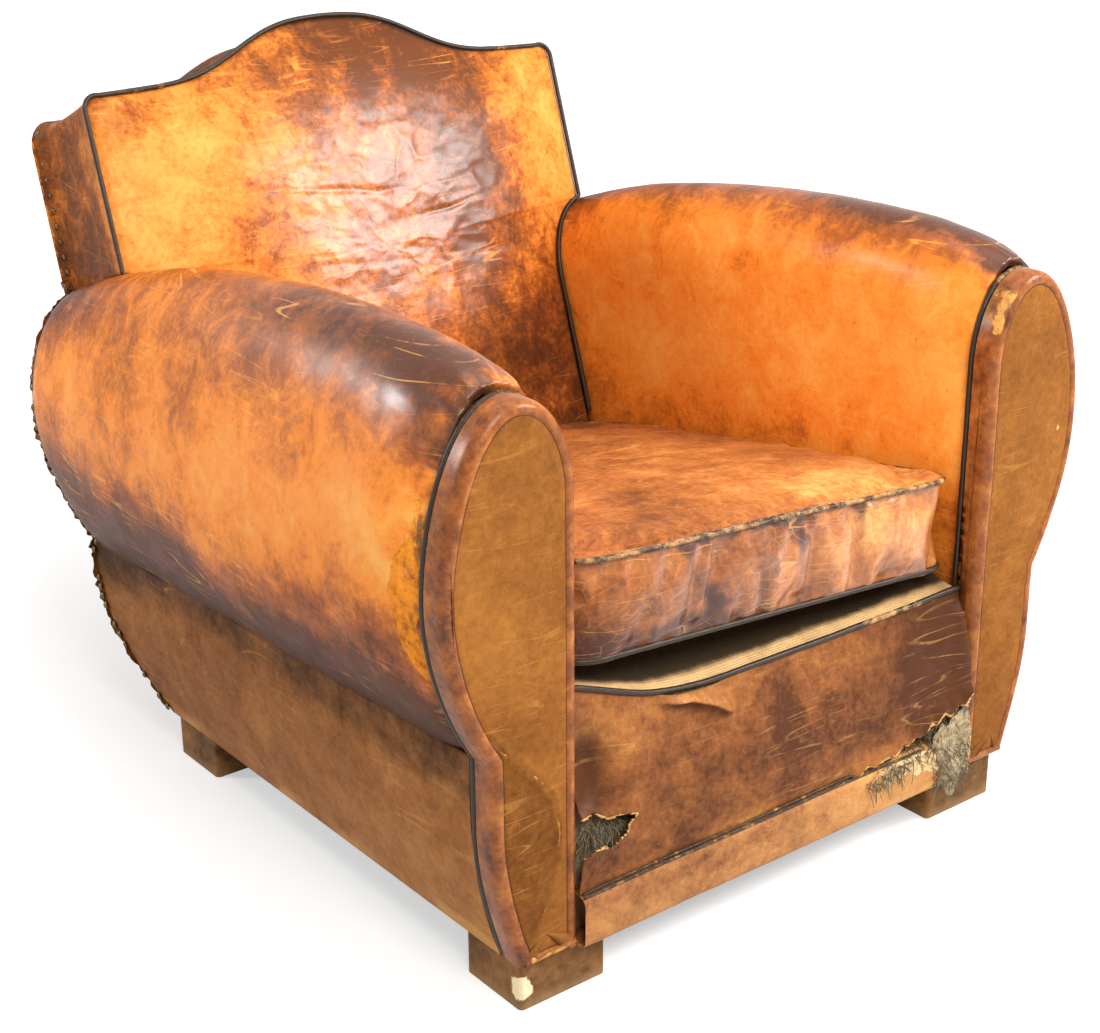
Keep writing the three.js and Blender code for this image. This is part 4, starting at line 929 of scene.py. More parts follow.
# Rings from the outline inwards: the rolled edge, a groove, and the flat, which closes on a spine.
# The left one has a flap of lifted leather, the right one a tear at the top
def facing(side):
    line = facingOutline(facingSet["count"])
    meet = (line[:, 1] + np.roll(line[::-1], 1, axis=0)[:, 1]) / 2
    spine = np.stack([309 + 14 * smooth(meet, 120, 420), np.clip(meet, 84, 540)], axis=-1)
    rings, edge = [], []
    for distance, y in facingSet["profile"]:
        last = inset(line, distance)
        rings.append(np.stack([last[:, 0], np.full(len(line), y), last[:, 1]], axis=-1))
        edge.append(np.full(len(line), 1.0 if distance < facingSet["roll"] else 0.0))
    for share in np.linspace(0.06, 1, 40):
        flat = mix(last, spine, share)
        hollow = np.full(len(line), 0.9 - 1.4 * math.sin(math.pi / 2 * share))
        rings.append(np.stack([flat[:, 0], hollow, flat[:, 1]], axis=-1))
        edge.append(np.zeros(len(line)))
    points = np.array(rings)
    edge = np.array(edge)
    place = points + np.array([4000.0 if side > 0 else 0.0, 0, 0])
    front = 1 - smooth(points[..., 1], 9, 14)
    points[..., 1] += front * (layered(place, 120, 71) * 1.1 + layered(place, 30, 73) * 0.35)
    x, z = points[..., 0], points[..., 2]
    flatPlace = np.stack([x, z], axis=-1)
    worn = (0.27 if side < 0 else 0.36) + 0.2 * layered(place, 140, 75)
    worn -= 0.14 * (1 - smooth(z, 90, 260)) * (side > 0)
    worn -= 0.04 * smooth(z, 250, 500) * (1 - edge)
    groove = np.zeros_like(edge)
    groove[10:12] = 1
    stainAndPaintedShade = 0.12 + 0.75 * groove + 0.3 * (1 - smooth(z, 50, 85)) + 0.3 * smooth(-z, -300, -60) * (side < 0)
    raw = np.zeros_like(x)
    if side < 0:
        # A lifted flap of leather runs across the lower half
        away = lineDistance(flatPlace, [(365, 300)] + facingSet["flap"])
        raw += 0.62 * bump(away, 0, 3.2) * (0.6 + 0.6 * layered(place, 18, 77))
        points[..., 1] += -1.3 * bump(away, 3, 4) * front + 1.2 * bump(away, -2, 3) * front
        below = within(flatPlace, [(380, 310)] + facingSet["flap"] + [(380, 40)])
        worn += np.where(below, -0.12, 0.04)
        raw += 0.8 * bump(x, 300, 26) * bump(z, 55, 7)
        worn += 0.3 * bump(x, 300, 40) * bump(z, 60, 14)
    else:
        tear = lineDistance(flatPlace, facingSet["tear"])
        raw += 0.7 * (1 - smooth(tear, 1, 6)) * (0.7 + 0.7 * layered(place, 16, 79))
        raw += 0.4 * bump(np.hypot(x - 292, z - 550), 0, 9)
        raw += 0.7 * bump(np.hypot(x - 380, z - 419), 0, 5)
        raw += 0.55 * (edge > 0) * bump(x, 404, 26) * smooth(layered(place, 14, 81), 0.2, 0.7)
        points[..., 1] += 1.0 * (1 - smooth(tear, 4, 10)) * front
    raw += 0.42 * edge * smooth(layered(place, 26, 83), 0.35, 0.8)
    fields = {"worn": worn, "stainAndPaintedShade": stainAndPaintedShade, "raw": raw, "shine": edge, "crease": edge * 0.7, "edge": edge}
    points[..., 0] *= side
    name = "facingRight" if side > 0 else "facingLeft"
    return surface(name, points, inside=(side * 320, 30, 300), around=True, poles=(True, False),
                   attributes=fields,
                   weld=True)


# The facing's flat is dull suede and its rolled edge is polished leather
def facingMaterial():
    flat = leather("facingLeatherMaterial", facingLook)
    tree = flat.node_tree
    shader = tree.nodes["Principled BSDF"]
    color = shader.inputs["Base Color"].links[0].from_socket
    rough = shader.inputs["Roughness"].links[0].from_socket
    g = Graph.__new__(Graph)
    g.material, g.tree, g.shader = flat, tree, shader
    g.place = g.add("ShaderNodeTexCoord").outputs["Object"]
    rim = g.field("edge")
    tone = g.sum(g.noise(26, 5.0, 0.7), g.mottle(140, 0.3))
    rimColor = g.ramp(tone, [(0.3, (0.1, 0.028, 0.009)), (0.5, (0.31, 0.088, 0.018)),
                             (0.75, (0.58, 0.21, 0.045))])
    bare = g.band(g.field("raw"), 0.3, 0.5)
    part = g.times(rim, g.math("SUBTRACT", 1.0, bare))
    g.put(shader.inputs["Base Color"], g.blend(part, color, rimColor))
    g.put(shader.inputs["Roughness"], g.sum(rough, g.times(part, -0.02)))
    return flat


facingLeather = facingMaterial()
for side, word in ((-1, "left"), (1, "right")):
    settle(facing(side), facingLeather, "facing_suede", f"arm_facing_{word}")

piping = pipingMaterial("pipingMaterial")


# Piping along a path, its thickness a little uneven
def edgeCord(name, path, facingWay, nodes, radius=2.7, rub=0.12, closed=False, rubs=None):
    worn = np.full(len(path), rub) if rubs is None else rubs
    swell = 1 + 0.07 * lattice(np.asarray(path, float), 14, 5)
    piece = cord(name, path, radius, facingWay, closed=closed, swell=swell, attributes={"worn": worn})
    settle(piece, piping, "piping", *nodes)
    return piece


for side, word in ((-1, "left"), (1, "right")):
    # The cord lies in the joint behind the facing, over its outline without the foot line
    line = inset(facingOutline(facingSet["count"]), 2.2)
    keep = line[:, 1] > 58
    order = np.argmax(~keep & np.roll(keep, -1))
    line = np.roll(line, -order - 1, axis=0)
    line = line[line[:, 1] > 58]
    path = resample(np.stack([side * line[:, 0], np.full(len(line), 30.8), line[:, 1]], axis=-1), 420)
    rubs = 0.1 + 0.35 * smooth(path[:, 2], 540, 590)
    edgeCord(f"armCord_{word}", path, np.array([0.0, 1.0, 0.0]), [f"arm_piping_{word}"], rubs=rubs,
             radius=3.1)
print("facings done")

# Lower outside panels


# Leather under the bulge: the curve of the side with sags and a slight hollow, its edges turned in
def sidePanel(side):
    rows, columns = 64, 136
    across = np.linspace(0, 1, columns)[None, :]
    up = np.linspace(0, 1, rows)[:, None]
    z = mix(50.5, 237, up) * np.ones_like(across)
    y = mix(35, armEndY(z) - 0.5, across)
    z = z + (seamZ(y) - 237) * up
    place = np.stack([y, z, np.full_like(y, 900.0 * side)], axis=-1)
    sag = layered(place, 130, 91) * 2.0 + layered(place, 40, 93) * 0.6
    hollow = -1.5 * np.sin(np.pi * up) * np.sin(np.pi * across)
    x = sideX(z) + (sag + hollow) * smooth(up, 0, 0.12) * (1 - smooth(up, 0.9, 1)) - 0.6
    lower = 1 - smooth(z, 56, 74)
    worn = (0.44 + 0.2 * layered(place, 170, 95)
            + 0.2 * (1 - smooth(z, 90, 220)) * (1 - smooth(across, 0.3, 0.9)))
    worn = worn + 0.05 + 0.55 * lower * smooth(layered(place, 60, 97), -0.3, 0.5)
    # Painted shade under the arm's bulge: darker towards the seam at the top. It is also darker towards the
    # rear
    stainAndPaintedShade = 0.62 * smooth(z, 175, 240) + 0.3 * smooth(across, 0.6, 1) + 0.05
    raw = (0.62 * bump(z, 52, 6) * smooth(layered(place, 36, 99), 0.0, 0.6)
           + 0.9 * bump(y, 42, 7) * bump(z, 78, 6))
    fields = {"worn": worn, "stainAndPaintedShade": stainAndPaintedShade, "raw": raw * np.ones_like(z), "shine": z * 0 + 0.1,
              "crease": z * 0 + 0.15}
    points = np.stack([side * x, y, z], axis=-1)
    inner = points.copy()
    inner[..., 0] -= side * 2.4
    points = np.concatenate([inner[:1], points, inner[-1:]], axis=0)
    fields = {key: np.concatenate([value[:1], value, value[-1:]], axis=0) for key, value in fields.items()}
    name = "sidePanelRight" if side > 0 else "sidePanelLeft"
    return surface(name, points, inside=(0, 400, 150), attributes=fields)


sideMaterial = leather("outsideLeatherMaterial", sideLook)
for side, word in ((-1, "left"), (1, "right")):
    settle(sidePanel(side), sideMaterial, "outside_leather", f"side_panel_{word}")
print("side panels done")

# Back

backSet = {
    "half": 320, "cornerZ": 725, "cornerX": 16, "cornerRise": 15.6, "bottom": 205, "top": 746, "peak": 53,
    "peakWidth": 140, "slope": 0.02, "middle": 533, "puff": 34, "points": 520, "borderRows": 26,
    # Height, slope and depth of the long creases
    "creases": ((560, 0.1, 2.6), (520, -0.05, 2.2), (492, 0.12, 1.8), (598, -0.12, 1.5)),
}
meetZ = float(ridgeZ(np.array(714.0)))


# Top of the back: shoulders with a rounded peak in the middle
def backTopZ(x):
    away = np.abs(x)
    return (backSet["top"] + backSet["peak"] * np.exp(-((away / backSet["peakWidth"]) ** 3))
            - backSet["slope"] * away)


# Half width of the back, between the arms' shoulders and straight above them
def backHalf(z):
    share = np.clip((z - meetZ + armSet["shoulder"]) / armSet["shoulder"], 0, 1)
    between = mix(armSet["ridgeX"], armSet["innerX"], np.sqrt(1 - share * share))
    return np.minimum(between - 0.3, backSet["half"])


# Closed outline of the back's front: sides, rounded corners, top and foot
def backOutline(count):
    half, cornerZ = backSet["half"], backSet["cornerZ"]
    z = np.linspace(backSet["bottom"], cornerZ, 320)
    side = np.stack([backHalf(z), z], axis=-1)
    turn = np.linspace(0, np.pi / 2, 14)[1:]
    corner = np.stack([half - backSet["cornerX"] * (1 - np.cos(turn)),
                       cornerZ + backSet["cornerRise"] * np.sin(turn)], axis=-1)
    x = np.linspace(300, 0, 200)
    top = np.stack([x, backTopZ(x)], axis=-1)
    right = np.vstack([side, corner, top])
    left = right[::-1][1:] * [-1, 1]
    foot = np.stack([np.linspace(-266, 266, 60)[1:-1], np.full(58, float(backSet["bottom"]))], axis=-1)
    return resample(np.vstack([right, left, foot]), count, closed=True)


# Point of the leaning back, moved forward from its plane
def backPoint(x, z, forward, depth=0.0):
    y, height = backPlane(z, depth)
    return np.stack([x, y - forward * math.cos(leanAngle), height + forward * math.sin(leanAngle)], axis=-1)


# Leather of the back: rings from the middle to the piping, puffed and creased, then the border
# to the nailed rear edge
def backLeather():
    line = backOutline(backSet["points"])
    middle = np.array([0.0, float(backSet["middle"])])
    shares = np.concatenate([np.linspace(0.02, 0.9, 88), np.linspace(0.91, 1, 14)])
    rings = []
    for share in shares:
        flat = mix(middle, line, share)
        puff = np.full(len(line), backSet["puff"] * (1 - share**3))
        rings.append(np.stack([flat[:, 0], flat[:, 1], puff], axis=-1))
    face = np.array(rings)
    x, z = face[..., 0], face[..., 1]
    place = onFlat(x, z)
    centre = np.exp(-(((x - 20) / 165) ** 4 + ((z - 575) / 135) ** 4))
    edgeFree = 1 - smooth(shares, 0.88, 1.0)[:, None]
    crush = (crumpled(place * [0.8, 1, 1], 40, 101) - 0.5
             + 0.5 * (crumpled(place * [0.5, 1, 1], 20, 109) - 0.5))
    lift = centre * crush * 2.4 + layered(place, 120, 103) * 2.2 + layered(place, 34, 105) * 0.6
    # Long creases run across the middle where the back bends
    for middleZ, slope, deep in backSet["creases"]:
        away = z - middleZ - slope * x - 7 * layered(place * [1, 0.3, 1], 70, middleZ)
        broken = smooth(layered(place * [1, 0.1, 1], 90, middleZ + 3), -0.3, 0.3)
        lift -= deep * centre * np.exp(-((away / 3.5) ** 2)) * broken
    face[..., 2] += lift * edgeFree
    face[..., 2] -= 4.0 * smooth(shares, 0.955, 1.0)[:, None] ** 2
    worn = 0.47 + 0.2 * layered(place, 120, 107)
    worn += 0.36 * bump(x, -235, 100) * bump(z, 620, 110) + 0.3 * bump(x, 270, 70) * smooth(z, 440, 560)
    worn += 0.2 * bump(x, -120, 60) * bump(z, 560, 90) - 0.35 * bump(x, -270, 60) * bump(z, 725, 34)
    worn -= 0.5 * bump(x, 60, 190) * smooth(z, 660, 750) + 0.22 * centre
    worn -= 0.3 * bump(x, -150, 50) * bump(z, 600, 60) + 0.25 * (1 - smooth(z, 400, 480))
    worn -= 0.32 * bump(x, 150, 80) * bump(z, 610, 130)
    stainAndPaintedShade = 0.55 * bump(x, 60, 150) * smooth(z, 715, 785) + 0.4 * bump(x, -160, 40) * bump(z, 590, 60)
    stainAndPaintedShade += 0.5 * smooth(shares, 0.965, 1.0)[:, None] + 0.6 * (1 - smooth(z, 380, 450))
    stainAndPaintedShade += 0.3 * bump(x, 120, 50) * bump(z, 560, 150)
    facePoints = backPoint(x, z, face[..., 2])
    # Border from the piping to the nailed rear edge
    depths = np.linspace(0.0, 1.12, backSet["borderRows"])[1:]
    borders = []
    for depth in depths:
        grow = 5 * math.sin(math.pi * min(depth, 1.0)) - 9 * float(smooth(depth, 0.85, 1.12))
        ring = inset(line, -grow)
        borders.append(backPoint(ring[:, 0], ring[:, 1], 0.0, depth))
    border = np.array(borders)
    borderPlace = border.copy()
    normal = inset(line, -1) - line
    dent = layered(borderPlace, 90, 111) * 2.2 + layered(borderPlace, 28, 113) * 0.7
    dent *= np.sin(np.pi * np.clip(depths, 0, 1))[:, None]
    border[..., 0] += normal[None, :, 0] * dent
    border[..., 2] += normal[None, :, 1] * dent
    border[..., 1] = np.minimum(border[..., 1], outsideBackY(border[..., 2]) - 0.4)
    points = np.concatenate([facePoints, border], axis=0)
    onBorder = depths[:, None] * np.ones((1, len(line)))
    borderWorn = 0.2 + 0.22 * layered(borderPlace, 80, 115) + 0.35 * bump(onBorder, 0.05, 0.12)
    borderStain = 0.45 + 0.3 * smooth(onBorder, 0.6, 1.0) + 0.3 * layered(borderPlace, 60, 117)
    crease = np.clip(centre * 1.1 + 0.12 + 0.3 * layered(place, 70, 119), 0, 1)
    pairs = {"worn": (worn, borderWorn), "stainAndPaintedShade": (stainAndPaintedShade, borderStain), "shine": (0.08 + 0.92 * centre, 0.05),
             "raw": (0 * x, 0.5 * smooth(onBorder, 0.93, 1.05)), "crease": (crease, 0.3)}
    fields = {key: np.concatenate([a * np.ones_like(x), b * np.ones_like(onBorder)]) for key,
              (a, b) in pairs.items()}
    return surface("backLeather", points, inside=(0, 800, 500), around=True, poles=(True, False),
                   attributes=fields)


backMaterial = leather("backLeatherMaterial", backLook)
piece = settle(backLeather(), backMaterial, "back_leather", "back_cover", "back_stuffing")


# Directions to the right of an open flat line
def rightOf(line):
    along = unit(np.gradient(line, axis=0))
    return np.stack([along[:, 1], -along[:, 0]], axis=-1)


# Cord round the front edge of the back, down to where the arms begin, then along them
def backCord():
    line = backOutline(1400)
    z = line[:, 1]
    above = line[z > 300]
    start = np.argmax(np.linalg.norm(np.diff(above, axis=0), axis=1))
    if np.linalg.norm(above[start + 1] - above[start]) > 50:
        above = np.roll(above, -start - 1, axis=0)
    ring = resample(above, 620)
    out = rightOf(ring)
    low = 1 - smooth(ring[:, 1], meetZ - 100, meetZ + 6)
    place = ring + out * (-0.2 - 4.6 * low)[:, None]
    forward = 0.9 + 6.0 * low
    path = backPoint(place[:, 0], place[:, 1], forward)
    rubs = 0.12 + 0.3 * bump(np.abs(ring[:, 0]), 250, 60) * smooth(ring[:, 1], 700, 730)
    facingWay = np.array([0.0, -math.cos(leanAngle), math.sin(leanAngle)])
    return edgeCord("backCord", path, facingWay, ["back_piping"], rubs=rubs)


backCord()
print("back done")

# Outside back: a flat nailed panel, its lower half stepping out over the arm ends

outsideSet = {"half": 314, "stepZ": 513, "bend": (318, 343), "behind": 1.6, "edge": 2.4, "columns": 110,
              "rows": (44, 66)}


# Half width of the arm's rear end at each height
def armEndX(z):
    x, height = armLine(np.array([armRidgeRearY]), (40, 60, 80, 70))
    nx, nz = sideways(x, height)
    edge = np.stack([x[0] - 7 * nx[0], height[0] - 7 * nz[0]], axis=-1)[100:]
    order = np.argsort(edge[:, 1])
    return np.interp(z, edge[order, 1], edge[order, 0])


# Half width of the outside back: the lower panel's, the arm's, then its own
def outsideHalf(z):
    return np.where(z <= armSet["seamZ"][1], sideX(z),
                    np.where(z < 512, armEndX(z), float(outsideSet["half"])))


# Where the outside back lies: flat, and bent forward onto the arm ends
def outsideY(x, z):
    bend = smooth(np.abs(x), *outsideSet["bend"]) * (z < outsideSet["stepZ"])
    return mix(outsideBackY(z), armEndY(z), bend)


# Top edge of the outside back, just under the border's, with rounded corners
def crestZ(x):
    turned = np.clip((np.abs(x) - 292) / 22.5, 0, 1)
    return backPlane(backTopZ(x), 1.0)[1] - 6 - 22 * (1 - np.sqrt(1 - turned * turned))


# The panel's grid, with soft waves that fade out at its sides
def outsideBack():
    half, columns, (few, more) = outsideSet["half"], outsideSet["columns"], outsideSet["rows"]
    lowZ = np.concatenate([np.linspace(50.5, 237, few), np.linspace(240, 511.5, more)])
    across = np.linspace(-1, 1, columns)
    lower = outsideHalf(lowZ)[:, None] * across[None, :]
    x = np.vstack([lower, half * across[None, :] * np.ones((few, 1))])
    rise = np.linspace(0, 1, few)[:, None]
    upper = mix(float(outsideSet["stepZ"]), crestZ(half * across)[None, :], rise)
    z = np.vstack([lowZ[:, None] * np.ones((1, columns)), upper])
    y = outsideY(x, z) + outsideSet["behind"]
    place = onFlat(x, z)
    rim = np.minimum(1 - np.abs(across)[None, :], np.ones_like(x)) * 30
    y = y + (layered(place, 170, 121) * 2.2 + layered(place, 48, 123) * 0.6) * np.clip(rim, 0, 1)
    fields = {"worn": 0.34 + 0.25 * layered(place, 190, 125) + 0.3 * bump(z, 690, 60) * bump(x, 0, 200),
              "stainAndPaintedShade": 0.2 + 0.35 * (1 - smooth(z, 60, 200)) + 0.25 * layered(place, 90, 127),
              "raw": 0.45 * bump(z, 52, 6) * smooth(layered(place, 40, 129), 0, 0.6),
              "shine": x * 0 + 0.2, "crease": x * 0 + 0.2}
    points = np.stack([x, y, z], axis=-1)
    turned = points.copy()
    turned[..., 1] -= outsideSet["edge"]
    points = np.concatenate([turned[:, :1], points, turned[:, -1:]], axis=1)
    fields = {key: np.concatenate([v[:, :1], v, v[:, -1:]], axis=1) for key, v in fields.items()}
    return surface("outsideBackLeather", points, inside=(0, 0, 300), attributes=fields)


outsideMaterial = leather("outsideBackMaterial",
                          {**sideLook, "base": (0.2, 0.08, 0.028), "warm": (0.38, 0.155, 0.045)})
settle(outsideBack(), outsideMaterial, "outside_leather", "outside_back")


# The line just inside the edge of the outside back, from one foot over the top to the other
def rearEdge():
    lowZ = np.linspace(58, 508, 160)
    side = np.stack([outsideHalf(lowZ) - 5, lowZ], axis=-1)
    upper = np.stack([np.full(60, 309.0), np.linspace(520, 668, 60)], axis=-1)
    x = np.linspace(300, 0, 120)
    half = np.vstack([side, upper, np.stack([x, crestZ(x) - 5], axis=-1)])
    return np.vstack([half, half[::-1][1:] * [-1, 1]])


# Leather torn along the same edge: a thin strip whose free side wanders out and in
def frayedEdge():
    line = resample(rearEdge(), 1500)
    out = rightOf(line)
    out *= np.sign(np.sum(out * (line - [0, 300]), axis=1))[:, None]
    y = outsideY(line[:, 0], line[:, 1])
    place = onFlat(line[:, 0], line[:, 1])
    reach = 8.0 + 3.4 * layered(place, 24, 133) + 3.4 * lattice(place, 5, 135)
    rows = []
    for share, rise in ((0.0, 1.8), (0.45, 2.4), (0.8, 1.6), (1.0, 0.6)):
        flat = line + out * (reach * share)[:, None]
        rows.append(np.column_stack([flat[:, 0], y + rise - 2.4 * share * lattice(place, 14, 137),
                                     flat[:, 1]]))
    points = place = np.array(rows)
    fields = {"worn": 0.3 + 0.3 * layered(place, 30, 138), "stainAndPaintedShade": 0.35 + 0.3 * layered(place, 50, 139),
              "raw": 0.4 * smooth(layered(place, 18, 140), 0, 0.5), "shine": points[..., 0] * 0,
              "crease": points[..., 0] * 0}
    piece = surface("frayedEdge", points, inside=(0, 0, 300), attributes=fields)
    return thicken(piece, 0.0012)


settle(frayedEdge(), outsideMaterial, "outside_leather")


nailSet = {"low": 44, "high": 104, "radius": 4.6, "lost": -0.35, "dome": 0.75, "sides": 12}


# Places and directions of the domed nails: in the sides of the arms, a little in front of that
# edge, and in the back's border just before its rear edge
def nailPlaces():
    low, high = nailSet["low"], nailSet["high"]
    heights = np.linspace(58, 500, 200)
    edge = resample(np.stack([outsideHalf(heights), heights], axis=-1), low)
    side = rightOf(edge)
    out = np.column_stack([side[:, 0], np.zeros(low), side[:, 1]])
    arms = np.column_stack([edge[:, 0], outsideY(edge[:, 0], edge[:, 1]) - 4.0, edge[:, 1]]) + out * 1.2
    line = backOutline(1500)
    line = line[line[:, 1] > 525]
    line = np.roll(line, -np.argmax(np.linalg.norm(np.diff(line, axis=0), axis=1)) - 1, axis=0)
    ring = resample(line, high)
    side = rightOf(ring)
    outRing = np.column_stack([side[:, 0], np.zeros(high), side[:, 1]])
    back = backPoint(*(ring + side * 0.2).T, 0.0, 0.97)
    back[:, 1] = np.minimum(back[:, 1], outsideBackY(back[:, 2]) - 2.6)
    centres = np.vstack([arms, arms * [-1, 1, 1], back])
    return centres, np.vstack([out, out * [-1, 1, 1], outRing])


# Low domes of a few rings each. Noise says which are lost and how large the others are
def nails():
    sides = nailSet["sides"]
    centre, out = nailPlaces()
    chance = lattice(centre, 9, 131)
    left = chance > nailSet["lost"]
    centre, out, chance = centre[left], out[left], chance[left]
    axis = unit(out + [0, 0.4, 0])
    first = unit(np.cross(axis, [0.1, 1.0, 0.2]))
    second = np.cross(axis, first)
    turn = np.linspace(0, 2 * np.pi, sides, endpoint=False)
    fall = np.array([0.0, 0.35, 0.7, 1.0]) * np.pi / 2
    size = (nailSet["radius"] + chance)[:, None, None, None]
    ring = np.sin(fall)[None, :, None, None] * (np.cos(turn)[None, None, :, None] * first[:, None, None]
                                                + np.sin(turn)[None, None, :, None] * second[:, None, None])
    dome = size * (ring + nailSet["dome"] * np.cos(fall)[None, :, None, None] * axis[:, None, None])
    vertices = (centre[:, None, None] + dome).reshape(-1, 3)
    points = len(fall) * sides
    index = np.arange(points).reshape(len(fall), sides)
    index = np.hstack([index, index[:, :1]])
    quads = np.stack([index[:-1, :-1], index[1:, :-1], index[1:, 1:], index[:-1, 1:]], axis=-1).reshape(-1, 4)
    faces = (quads[None] + points * np.arange(len(centre))[:, None, None]).reshape(-1, 4)
    made = finishMesh("backNails", toMetres(vertices), faces.tolist(), {})
    return settle(made, metalMaterial("nailMaterial", (0.2, 0.13, 0.07), (0.05, 0.035, 0.02), 0.45),
                  "outside_leather")


nails()
print("outside back done")

# Cushion

cushionSet = {
    "x": (-256, 244), "y": (22, 596), "corner": 34, "thick": 104, "under": 305.5, "tilt": (0.069, 0.158),
    "points": 560, "inside": (-6, 310, 330), "borderCap": 22.0, "topCap": 7.0,
    # Crown and bulge before the cloth run, after it, and where it isn't run
    "start": (12, 3), "ran": (11, 3), "still": (18, 7),
}


# Height of the cushion's underside, which tilts both ways
def cushionUnder(x, y):
    across, along = cushionSet["tilt"]
    return cushionSet["under"] - across * x - along * (y - cushionSet["y"][0])


# The cushion's outline from above, a rectangle with round corners
def cushionLine(grow, count):
    x0, x1 = cushionSet["x"][0] - grow, cushionSet["x"][1] + grow
    y0, y1 = cushionSet["y"][0] - grow, cushionSet["y"][1] + grow
    r = max(cushionSet["corner"] + grow, 6)
    turn = np.linspace(0, np.pi / 2, 24)
    parts = []
    for cx, cy, start in ((x1 - r, y0 + r, -0.5), (x1 - r, y1 - r, 0), (x0 + r, y1 - r, 0.5),
                          (x0 + r, y0 + r, 1)):
        angle = start * np.pi + turn
        parts.append(np.stack([cx + r * np.cos(angle), cy + r * np.sin(angle)], axis=-1))
    return resample(np.vstack([[[(x0 + x1) / 2, y0]]] + parts), count, closed=True)


# Rings of the cushion by t: 0 to 1 is the underside, 1 to 2 the border, 2 to 3 the top. The border
# bulges between its seams, most at the front, and the top is a low crown
def cushionShape(count, t, crown, bulge):
    line = cushionLine(0, count)
    out = line - inset(line, 1)
    spine = np.stack([np.full(count, -6.0), np.clip(line[:, 1], 262, 356)], axis=-1)
    t = t[:, None]
    inward = np.where(t < 1, t, np.where(t > 2, 3 - t, 1.0))[..., None]
    flat = mix(spine[None], line[None], inward)
    height = cushionSet["thick"] * np.clip(t - 1, 0, 1) * np.ones((1, count))
    border = (t > 1) & (t < 2) & (height > 0)
    share = np.clip(t - 2, 0, 1) * np.ones((1, count))
    front = np.clip(-out[:, 1], 0, 1)[None, :]
    wall = np.sin(np.pi * np.clip((height - 4) / 96, 0, 1))
    swell = border * (bulge * wall**0.7 * (1 + 0.9 * front) - 2.0 * (1 - wall) ** 2)
    x = flat[..., 0] + out[None, :, 0] * swell
    y = flat[..., 1] + out[None, :, 1] * swell
    rise = crown * (1 - (1 - np.clip(share / 0.75, 0, 1)) ** 2) - 3.0 * (t >= 2) * np.exp(-share / 0.02)
    wave = layered(onLine(x), 90, 151) * 2.2 * bump(y, 22, 60) * smooth(height, 40, 104)
    z = height + rise * (t >= 2) + wave + cushionUnder(x, y)
    return np.stack([x, y, z], axis=-1), height, border, share, out, wall


